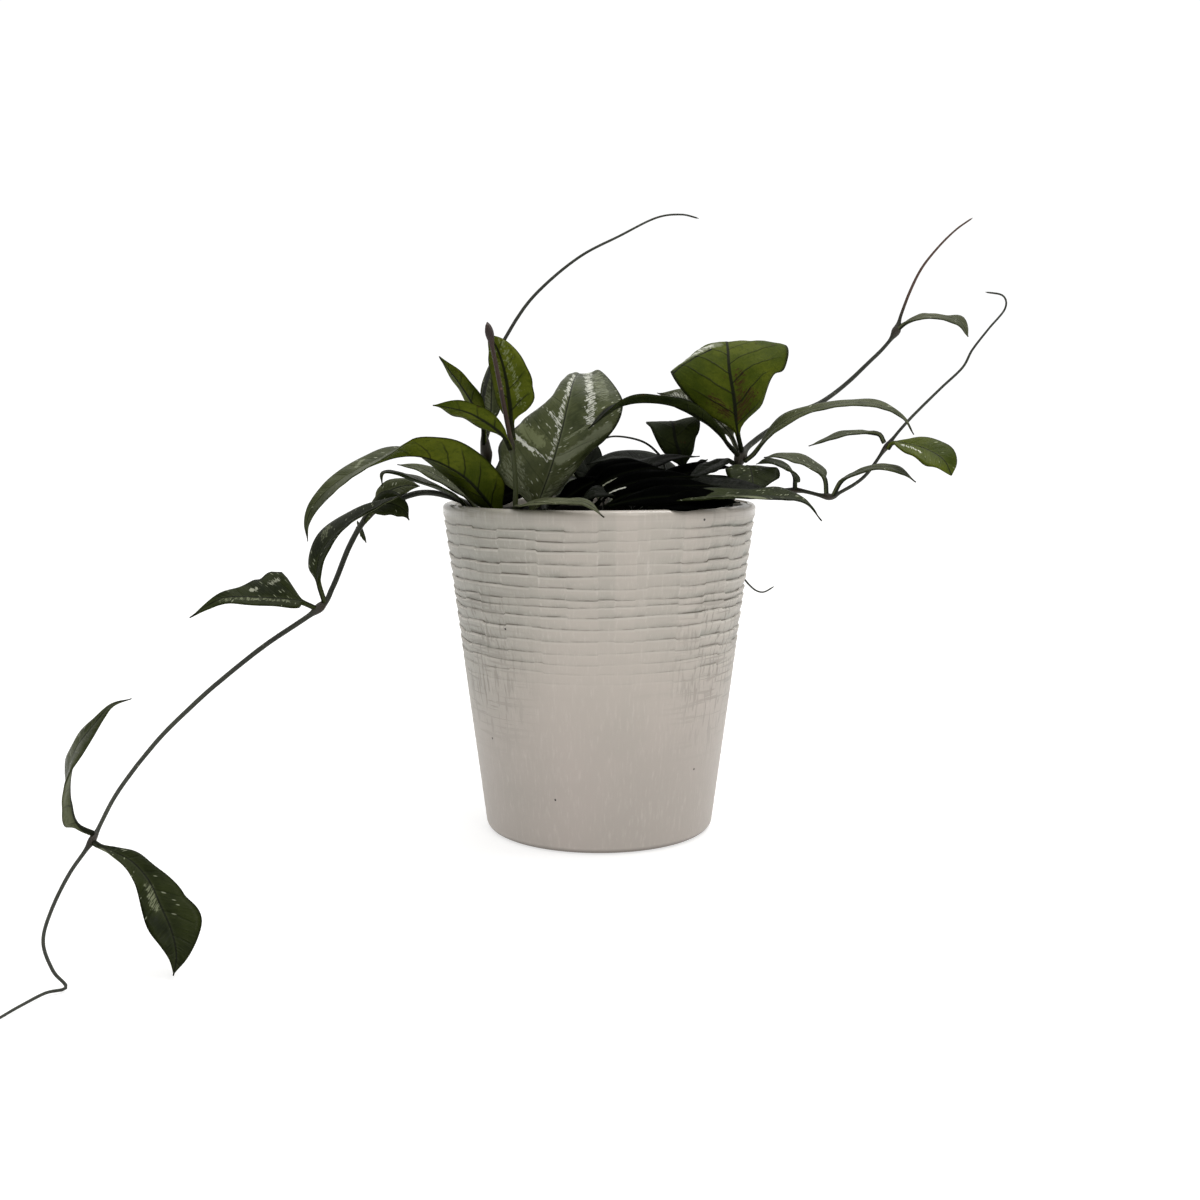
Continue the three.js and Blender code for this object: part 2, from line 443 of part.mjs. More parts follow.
function toSolid(geometry) {
  const bare = new THREE.BufferGeometry();
  bare.setAttribute('position', geometry.getAttribute('position').clone());
  bare.setIndex(geometry.index.clone());
  const merged = mergeVertices(bare, 1e-4);
  return new wasm.Manifold(new wasm.Mesh({
    numProp: 3,
    vertProperties: new Float32Array(merged.getAttribute('position').array),
    triVerts: new Uint32Array(merged.index.array),
  }));
}

function toGeometry(solid) {
  const body = solid.decompose().sort((a, b) => b.volume() - a.volume())[0];
  const mesh = body.getMesh();
  const geometry = new THREE.BufferGeometry();
  geometry.setAttribute('position', new THREE.BufferAttribute(mesh.vertProperties, 3));
  geometry.setIndex(new THREE.BufferAttribute(mesh.triVerts, 1));
  return geometry;
}

const plant = new THREE.Group();

function addPiece(name, solid, [colour, roughness]) {
  const geometry = toGeometry(solid);
  geometry.computeVertexNormals();
  const material = new THREE.MeshStandardMaterial({ color: colour, roughness, metalness: 0 });
  const mesh = new THREE.Mesh(geometry, material);
  mesh.name = name;
  plant.add(mesh);
}

addPiece('pot', toSolid(potGeometry()), COLOURS.pot);

const room = {};
for (const [name, vine] of Object.entries(VINES)) {
  room[name] = toSolid(vineGeometry(vine, GAP));
  addPiece(name, toSolid(vineGeometry(vine, 0)), name === 'shoot_red' ? COLOURS.shoot : COLOURS.vine);
}

const soil = Object.values(room).reduce((rest, hole) => rest.subtract(hole), toSolid(soilGeometry()));
addPiece('soil', soil, COLOURS.soil);

for (const [name, leaf] of Object.entries(LEAVES)) {
  const solid = toSolid(leafGeometry(leaf)).subtract(room[leaf.on]);
  addPiece(`leaf_${name}`, solid, leaf.young ? COLOURS.young : COLOURS.leaf);
}

export default plant;
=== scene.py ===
# A hoya in a round glazed pot: finer leaves, vines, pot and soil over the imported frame.
import math
import random
from functools import partialmethod
from types import SimpleNamespace

import bpy
import numpy as np
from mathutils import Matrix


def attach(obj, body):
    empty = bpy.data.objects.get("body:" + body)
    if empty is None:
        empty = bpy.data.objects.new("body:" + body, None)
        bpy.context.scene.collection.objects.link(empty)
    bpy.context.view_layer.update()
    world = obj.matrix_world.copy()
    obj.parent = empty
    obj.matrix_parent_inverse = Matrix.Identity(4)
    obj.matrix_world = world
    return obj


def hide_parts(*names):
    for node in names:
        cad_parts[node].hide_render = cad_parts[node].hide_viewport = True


MM = 0.001
SEED = 7

# Camera, with its place in mm and its pitch in degrees, and the floor
CAMERA_PLACE = (0.35, -627.0, 179.0)
CAMERA_PITCH = 6.93
CAMERA_LENS = 42.0
CAMERA_SENSOR = 36.0
FLOOR_HALF = 6000.0
FLOOR_LEVEL = -0.05
FLOOR_GREYS = ((0.54, 0.54, 0.54), (0.56, 0.56, 0.56))
FLOOR_GLOW = 0.62

# Room light: strengths in front and behind, what the ceiling adds, and the white behind all
ROOM_FRONT_BACK = (0.3, 0.75)
ROOM_TOP = 0.75
ROOM_COLOUR = (1.0, 0.995, 0.98)
WHITE = (1.0, 1.0, 1.0)
BACKDROP = 1.05
# Lamps: name, place and target in metres, size, power and colour
LAMPS = [
    ("lamp_top", (0.4, 0.05, 1.25), (0, 0, 0.15), (0.7, 0.7), 7.0, (1.0, 0.99, 0.97)),
    ("lamp_front", (0.6, -1.2, 0.9), (0, 0, 0.1), (0.5, 0.5), 2.4, (1.0, 0.98, 0.95)),
]

# Pot sizes in mm
RIM_RADIUS = 70.0
POT_HEIGHT = 147.0
FOOT_RADIUS = 51.0
WALL = 5.0
FOOT_INSET = 3.5
FOOT_ROUND = 4.0
RIM_INSET = 2.8
RIM_ROUND = 2.4
POT_COLUMNS = 480
# The plain lower wall: from and to which height, and its unevenness
PLAIN_WALL = (6, 66.5)
PLAIN_WAVE = 0.05
# Radius and height of the corners under the pot and inside it
UNDERSIDE = ((10, 1.2), (40, 1.2), (43, 0.9), (45, 0.0), (46.5, 0.0))
CAVITY_TOP = 143
CAVITY = ((54, 60), (46, 7), (10, 7))
# Bands: heights of their lower edges, and as shares of one band where its rows are, where its
# ledge begins and where its crease ends
BAND_EDGES = (69.5, 75, 79.5, 83.5, 88, 93, 98.5, 103.5, 107.5, 110.5, 115.5, 120.5, 125, 130.5,
              134.8, 139)
BANDS_TOP = 142.5
BAND_DEPTH = 0.65
BAND_PLACES = (0.0, 0.05, 0.12, 0.3, 0.55, 0.75, 0.88, 0.95)
BAND_LEDGE = 0.88
BAND_CREASE = 0.14
# How many of the lowest bands fade out
BANDS_FADING = 7
# Waves of the bands: size, how many round the pot and their shift from band to band
BAND_WAVES = ((0.25, 3, 1.7), (0.12, 11, 4.1))
# Upright seams that cut the bands, in degrees from the front, and how far apart the others stand
SEAMS = (-63, -50.6, -37.9, -26, -22, -11.8, -0.4, 5.7, 13.2, 17.3, 30.2, 42, 55)
SEAM_STEP = (7, 15)
SEAMS_ROUND = 345
# How the strips between seams differ: all their bands' height, one band's height, depth and tone
STRIP_LEAN = (-0.45, 0.45)
STRIP_SHIFT = (-0.25, 0.25)
STRIP_DEPTH = (0.5, 1.1)
STRIP_TONE = (0.0, 0.28)
# What each point of the pot tells its glaze: painted shadow in the crease, painted highlight on the ledge,
# painted shade in the hollow, the strip's tone, the seams and painted shade inside
POT_VALUES = ("crease_shadow", "lit_ledge", "shaded_hollow", "strip", "seam", "inside_shade")
# Pinholes in the glaze, by degrees from the front and height, and their radius, in mm
PINHOLES = [(-38, 96.7), (-54, 46.7), (-20, 24), (38.4, 142.5), (47.4, 34)]
PINHOLE_RADIUS = 0.5
# Wall coordinates are in units of 100 mm
WALL_UNIT = 100
WALL_PER_DEGREE = 0.011

# Soil sizes in mm
SOIL_TOP = 135.0
SOIL_CROWN = 1.5
SOIL_GRID = (160, 60)
SOIL_WAVES = 40
SOIL_ROUGHNESS = 0.55
SOIL_BASE = ((40, 7.5), (46, 7.5), (48.5, 13))
# Bark chips: half sizes in mm, how jagged, and each level's height and width
CHIP_COUNT = 90
CHIP_SPREAD = 57
CHIP_SIDES = 7
CHIP_SIZES = ((1.5, 4.0), (1.0, 2.4), (0.5, 1.1))
CHIP_JAG = (0.75, 1.1)
CHIP_LIFT = (-0.15, 0.15)
CHIP_LEVELS = ((-1, 0.7), (0, 1.0), (1, 0.75))

# Leaf sizes in mm
PETIOLE_RADIUS = 1.05
BLADE_THICK = 1.2
EDGE_THICK = 0.7
TIP_HALF_WIDTH = 0.2
BLADE_START = 0.14
RIPPLE = 7
ROW_STEP = 1.3
NECK_STEP = 1.5
COLUMN_STEP = 1.7
RIB_STEPS = 60
BEND_STEPS = 12
RIDGE = 0.55
GROOVE = 0.3
VEIN_SPACING = 8.5
VEIN_RISE = 0.8
VEIN_OFFSET = 0.45
PUCKER = 0.22
EVEN = (1, 1, 1, 1, 1, 1)
# What a leaf has where LEAVES names nothing else
PLAIN_LEAF = dict(twist=0, stalk=7, widest=0.45, point=0.55, fold=10, left=(0, 0), right=(0, 0),
                  lobes=(EVEN, EVEN))

# Vine sizes in mm
KNOT_REACH = 3.0
VINE_SIDES = 14
VINE_STEP = 1.3
VINE_TIP = 0.38
VINE_ROUND = 1.6
VINE_WOBBLE = 0.05
VINE_FACE = (0.3, 0.9, 0.2)
# Resting buds: where along the vine, their swelling and half their length
BUDS = {"shoot_red": [(0.955, 1.0, 3.6)], "runner_tall": [(0.235, 1.6, 4.2)]}

# Colours, linear
GLAZE = (0.478, 0.43, 0.382)
GLAZE_LOW = (0.42, 0.37, 0.335)
# Greener glaze tone, also the colour of painted shade
GLAZE_GREEN_AND_SHADE = (0.265, 0.262, 0.225)
# Pale worn glaze, also the colour of painted highlights on the ledges
GLAZE_WEAR_AND_HIGHLIGHT = (0.62, 0.585, 0.53)
# Colour of painted shadow in creases, cuts and along the foot
GLAZE_SHADOW = (0.11, 0.092, 0.072)
GLAZE_HOLE = (0.03, 0.026, 0.022)
SOIL_DARK = (0.005, 0.004, 0.003)
SOIL_LIGHT = (0.03, 0.022, 0.015)
CHIP_DARK = (0.006, 0.004, 0.003)
CHIP_LIGHT = (0.05, 0.033, 0.02)
INK = (0.004, 0.005, 0.002)
# Silver variegation, also the colour of painted glints
SILVER_AND_GLINT = (0.62, 0.63, 0.55)
PALE = (0.28, 0.29, 0.22)
ASH = (0.16, 0.175, 0.105)
SPLASH = (0.16, 0.18, 0.085)
RUST = (0.035, 0.018, 0.004)
# Bark looks: dark, light, lenticel and knot colours
BARK_LOOKS = {
    "vine": ((0.006, 0.008, 0.003), (0.042, 0.047, 0.028), (0.16, 0.155, 0.11), (0.028, 0.017, 0.01)),
    "shoot": ((0.016, 0.006, 0.004), (0.05, 0.022, 0.013), (0.2, 0.12, 0.08), (0.015, 0.008, 0.006)),
}
# Tints of single vines: colour, the two heights in metres where it turns and its strength there
BARK_TINTS = {
    "shoot_red": ((0.03, 0.043, 0.003), 0.169, 0.179, 0.85, 0.0),
    "stem_right": ((0.09, 0.045, 0.03), 0.226, 0.24, 0.0, 0.8),
}

# Upper looks: dark, light, vein and fleck colours, roughness, shine and how many flecks
# The shade and deep looks and the blackest one are the same upper face painted darker, as painted shade for
# leaves in shadow
UPPER_LOOKS = {
    "grey": ((0.024, 0.031, 0.007), (0.066, 0.075, 0.03), (0.12, 0.135, 0.07), (0.42, 0.44, 0.33),
             0.44, 0.14, 0.5),
    "bright": ((0.026, 0.034, 0.01), (0.08, 0.092, 0.036), (0.14, 0.155, 0.085), (0.5, 0.52, 0.4),
               0.42, 0.16, 1.0),
    "pale": ((0.042, 0.048, 0.02), (0.1, 0.107, 0.06), (0.15, 0.16, 0.1), (0.4, 0.42, 0.33),
             0.45, 0.1, 0.2),
    "shade": ((0.005, 0.008, 0.001), (0.022, 0.029, 0.006), (0.045, 0.054, 0.022), (0.3, 0.32, 0.22),
              0.45, 0.07, 0.6),
    "deep": ((0.0012, 0.0016, 0.0008), (0.0075, 0.0095, 0.005), (0.02, 0.023, 0.016),
             (0.1, 0.11, 0.09), 0.42, 0.05, 0.05),
    "shadow_black": ((0.0, 0.0, 0.0), (0.0006, 0.0007, 0.0005), (0.004, 0.005, 0.003), (0.1, 0.11, 0.09),
              0.55, 0.004, 0.02),
    "young": ((0.03, 0.044, 0.0005), (0.072, 0.09, 0.003), (0.1, 0.12, 0.02), (0.33, 0.36, 0.2),
              0.46, 0.12, 0.3),
}
# Underside looks: dark and light colours and how strong the side veins are
UNDER_LOOKS = {
    "olive": ((0.03, 0.045, 0.0002), (0.08, 0.097, 0.005), 0.8),
    "ashy": ((0.05, 0.058, 0.023), (0.115, 0.125, 0.07), 0.5),
    # dim is the same underside painted darker, as painted shade
    "dim": ((0.005, 0.009, 0.0005), (0.02, 0.027, 0.005), 0.5),
}
# Leaves of each upper and underside look; the rest are plain
# Plain leaves have the dim underside, in painted shade
PLAIN_LOOK = ("grey", "dim")
LOOK_GROUPS = {
    ("bright", "dim"): "e1",
    ("bright", "olive"): "c4",
    ("young", "olive"): "c1 c2 c3 k4",
    ("grey", "olive"): "b1 b4",
    ("grey", "ashy"): "a3",
    ("shade", "olive"): "b5",
    ("shade", "ashy"): "a1 a2 a4",
    ("shade", "dim"): "i1 r1 s2",
    ("pale", "olive"): "g1",
    ("pale", "ashy"): "t1",
    ("pale", "dim"): "g2 j1",
    # Leaves deep in the heart of the plant, painted dark as painted shade
    ("deep", "dim"): "f1 l1 m1 n1 p1 p2 p3 q1 q2 s1 u3 u4",
}
LEAF_LOOKS = {name: looks for looks, names in LOOK_GROUPS.items() for name in names.split()}
# Strokes along the side veins: how fine along and across them, and where they begin and are full
STREAKS = (1.1, 0.22, 0.45, 0.7)
PITS = (2.2, 0.6, 0.52, 0.72)
UNDER_STREAKS = (0.9, 0.25, 0.45, 0.72)
MARK_STROKES = (1.5, 0.35, 0.42, 0.56)
# Where the margin of a blade darkens, as shares of its half width
MARGIN = (0.93, 0.99, 0.0, 0.7)
# Marks on single leaves: both ends as (share across, share along), half width in mm, how ragged,
# colour and whether it breaks into strokes
LEAF_MARKS = {
    "e1": [
        # e1: silver streaks along the midrib, partly silver variegation and partly painted highlight
        ((-0.1, 0.42), (-0.05, 0.73), 0.9, 2.2, SILVER_AND_GLINT, True),
        ((-0.06, 0.28), (-0.06, 0.43), 0.8, 1.6, SILVER_AND_GLINT, True),
        ((0.48, 0.47), (0.42, 0.8), 2.0, 4.5, SILVER_AND_GLINT, True),
        ((-0.85, 0.37), (-0.35, 0.335), 2.8, 3.5, SPLASH, False),
        # Painted glints: bright lines from the splash towards the midrib
        ((-0.9, 0.325), (-0.4, 0.29), 0.9, 1.6, SILVER_AND_GLINT, False),
        ((-0.4, 0.3), (-0.1, 0.26), 0.5, 0.8, SILVER_AND_GLINT, True),
        # A painted glint near the midrib
        ((-0.3, 0.47), (-0.08, 0.43), 0.9, 1.4, SILVER_AND_GLINT, True),
        # Painted highlight: a pale band along the crease where the right half curls back
        ((0.12, 0.28), (0.85, 0.47), 2.3, 1.6, ASH, False),
        ((0.1, 0.37), (0.45, 0.45), 0.7, 0.8, ASH, True),
        ((-0.7, 0.2), (-0.5, 0.08), 5.0, 5.0, ASH, True),
        ((0.2, 0.1), (0.55, 0.25), 2.5, 3.0, ASH, True),
        ((0.6, 0.6), (0.7, 0.75), 3.0, 4.0, ASH, True),
    ],
    "a1": [((-0.75, 0.45), (-0.5, 0.36), 1.5, 2.6, ASH, True)],
    "a2": [
        ((0.45, 0.5), (0.48, 0.44), 0.8, 1.6, PALE, False),
        ((0.6, 0.3), (0.7, 0.2), 0.9, 2.2, PALE, True),
        ((-0.3, 0.2), (-0.4, 0.75), 0.9, 1.8, ASH, True),
    ],
    "a4": [((0.15, 0.5), (0.3, 0.62), 1.8, 2.2, ASH, True)],
    "c4": [((-0.5, 0.2), (-0.5, 0.8), 2.0, 2.5, ASH, True)],
    "g2": [((0.1, 0.2), (0.1, 0.8), 2.0, 2.5, SILVER_AND_GLINT, True)],
    "k4": [((0.35, 0.22), (0.45, 0.5), 0.6, 1.6, SILVER_AND_GLINT, True)],
    # A painted highlight across r1's blade
    "r1": [((0.1, 0.5), (0.9, 0.66), 2.2, 1.6, ASH, False)],
    "b1": [((0.3, 0.66), (0.6, 0.62), 0.9, 1.2, ASH, False)],
}
UNDER_MARKS = {
    "g1": [
        # The rolled-over margin: its paler upper face, with painted sheen and painted glints
        ((0.2, 0.51), (1.0, 0.41), 3.2, 2.0, ASH, False),
        ((0.3, 0.5), (0.9, 0.44), 2.0, 4.0, SILVER_AND_GLINT, True),
        # Painted shadow along the fold under the rolled margin
        ((0.25, 0.46), (0.98, 0.355), 0.5, 0.7, INK, False),
        ((-0.2, 0.12), (-0.45, 0.2), 3.0, 5.0, RUST, True),
        ((-0.1, 0.1), (-0.2, 0.3), 2.0, 5.0, RUST, True),
        ((0.3, 0.12), (0.5, 0.2), 2.4, 4.0, RUST, True),
    ],
    "a4": [((0.2, 0.1), (0.3, 0.3), 2.0, 1.5, ASH, False)],
    "c3": [
        ((-0.45, 0.2), (-0.5, 0.85), 1.0, 5.0, SPLASH, True),
        ((0.5, 0.3), (0.5, 0.85), 0.8, 4.0, SPLASH, True),
    ],
}
# Blades painted black as painted shade, that fill the shadowed heart of the plant: midrib in mm
CROWN_RIBS = [
    [(-5, -36, 147), (0, -35, 155), (9, -34, 160), (20, -33, 162.5), (28, -32, 162.5)],
    [(-2, -42, 147), (5, -41, 153.5), (17, -40, 157.3), (30, -39, 159), (42, -38, 159.4)],
    [(2, -47, 147), (11, -46, 151.5), (23, -45, 154.4), (38, -44, 155.6), (50, -43, 155.7)],
    [(-8, -26, 147), (-5, -25, 154.5), (2, -24, 160.2), (12, -22, 163.6), (23, -21, 164.4)],
    [(4, -54, 147.5), (16, -54, 150.5), (31, -54, 151.8), (46, -53, 151.8), (58, -52, 151.3)],
    [(13, -20, 147), (26, -19, 154.3), (39, -18, 160.2), (50, -18, 162.7), (59, -18, 162.7)],
    [(17, -30, 147), (29, -30, 151.9), (43, -30, 155.2), (58, -30, 156.8), (67, -30, 156)],
    [(20, -58, 147.4), (34, -58, 149.4), (48, -55, 150), (58, -50, 149.4)],
    [(-50, -24, 145.5), (-43, -25, 149.5), (-35, -24, 152.5), (-26, -23, 154)],
    [(-20, -34, 146.5), (-13, -34, 150.5), (-6, -33, 155), (3, -32, 159)],
]
CROWN_LEAF = dict(width=13.0, face=(0.0, -0.6, 0.8), stalk=2)
# Glints on single crown blades, as on the leaves
CROWN_GLINTS = {
    0: [((0.3, 0.25), (0.35, 0.5), 0.5, 0.8, PALE, False)],
    1: [((0.3, 0.05), (0.35, 0.3), 0.5, 0.6, SILVER_AND_GLINT, False)],
    2: [((0.4, 0.3), (0.3, 0.62), 0.5, 0.5, SILVER_AND_GLINT, False)],
    4: [((0.2, 0.5), (0.2, 0.62), 0.4, 0.5, SILVER_AND_GLINT, False)],
    6: [((0.3, 0.3), (0.3, 0.42), 0.4, 0.6, SILVER_AND_GLINT, False)],
}

# Vines: points in mm from the root to the tip, radius at the root and at the tip, and the knots
# where leaves grow, each as a fraction of the length and a swelling in mm.
VINES = {
    "vine_trailing": dict(radius=(1.45, 0.6), knots=[(0.217, 0.4), (0.341, 0.9), (0.681, 0.7)],
        path=[(-41, -3, 120), (-44, -5, 133), (-53, -8, 143), (-64, -13, 149.5), (-77, -20, 152),
        (-90, -30, 147.5), (-98, -35, 142.5), (-104.3, -43, 131), (-109.3, -56, 115), (-114, -62, 107),
        (-132, -80, 94.5), (-146, -94, 83), (-155, -104, 74.5), (-165, -116, 63.5), (-174, -133, 49),
        (-178, -149, 36), (-182, -161, 27.5), (-184, -173, 18.5), (-183, -183, 11.5), (-177, -191, 5),
        (-171, -196, 1.4), (-176, -200.5, 1.3), (-180, -211, 1.3), (-185, -226, 1.3), (-194, -237, 1.3),
        (-204, -243, 1.3)]),
    "shoot_red": dict(radius=(1.25, 0.8), knots=[(0.185, 0.3), (0.513, 0.5)],
        path=[(-36, -40, 120), (-35, -42, 147), (-35, -42, 160), (-36.5, -43, 173), (-39.5, -44, 190),
        (-43, -43, 208), (-46, -42, 223)]),
    "runner_tall": dict(radius=(1.2, 0.6), knots=[(0.26, 0.7)],
        path=[(-45, -8, 120), (-47, -9, 150), (-50, -10, 173), (-51, -9, 190), (-47, -7, 207),
        (-35, -3, 229), (-24, 0, 242), (-8, 3, 255), (9, 6, 264), (25, 8, 272), (36, 8, 273.5),
        (44, 6, 271.5)]),
    "stem_left": dict(radius=(1.9, 1.7),
        path=[(-36, -27, 120), (-37, -28, 131), (-36, -29, 140)]),
    "stem_far_left": dict(radius=(1.6, 1.5),
        path=[(-50, -20, 120), (-50, -20, 134), (-51, -21, 144)]),
    "stem_right": dict(radius=(1.7, 0.6), knots=[(0.237, 1.5), (0.705, 1.3)],
        path=[(54, -3, 120), (56, -5, 138), (60, -8, 155), (62, -10, 167), (70, -3, 175), (88, 5, 186),
        (100, 8, 191.5), (111, 10, 199.5), (121, 10, 209), (128, 10, 216), (133, 10, 223), (135, 10, 230),
        (139, 10, 241), (144, 10, 251), (151, 9, 260), (158, 8, 267), (165, 7, 272)]),
    "runner_low": dict(radius=(1.1, 0.55), knots=[(0.306, 0.4), (0.385, 0.7), (0.551, 0.6)],
        path=[(49, 14, 120), (53, 13, 136), (60, 9, 148), (71, 4, 151), (87, -6, 152.5), (100, -15, 150),
        (105, -16, 152), (115, -18, 159), (124, -20, 172), (133, -20, 183), (146, -19, 196),
        (156, -18, 205.5), (160, -18, 213), (167, -17, 222), (174, -16, 230.5), (173, -16, 236),
        (165, -17, 237.5)]),
    "stem_centre": dict(radius=(1.7, 1.4),
        path=[(37, 4, 120), (38, 4, 140), (38, 4, 157)]),
    "stem_front": dict(radius=(1.8, 1.5),
        path=[(14, -30, 120), (14, -31, 134), (14, -32, 146)]),
    "stem_middle": dict(radius=(1.8, 1.5),
        path=[(-23, -6, 120), (-23, -7, 134), (-23, -8, 147)]),
    "tendril_arch": dict(radius=(0.8, 0.6),
        path=[(31, 15, 120), (31, 14, 146), (30, 13, 161), (27, 13, 168), (19, 14, 174), (6, 15, 176),
        (-3, 15, 172)]),
    "runner_back": dict(radius=(1.1, 0.6),
        path=[(34, 34, 120), (38, 40, 140), (46, 51, 150), (55, 61, 147), (64, 67, 131), (70, 70, 110),
        (76, 71, 101), (82, 72, 98), (88, 72, 101)]),
    "stem_back": dict(radius=(1.8, 1.5),
        path=[(2, 32, 120), (2, 33, 134), (2, 34, 147)]),
}

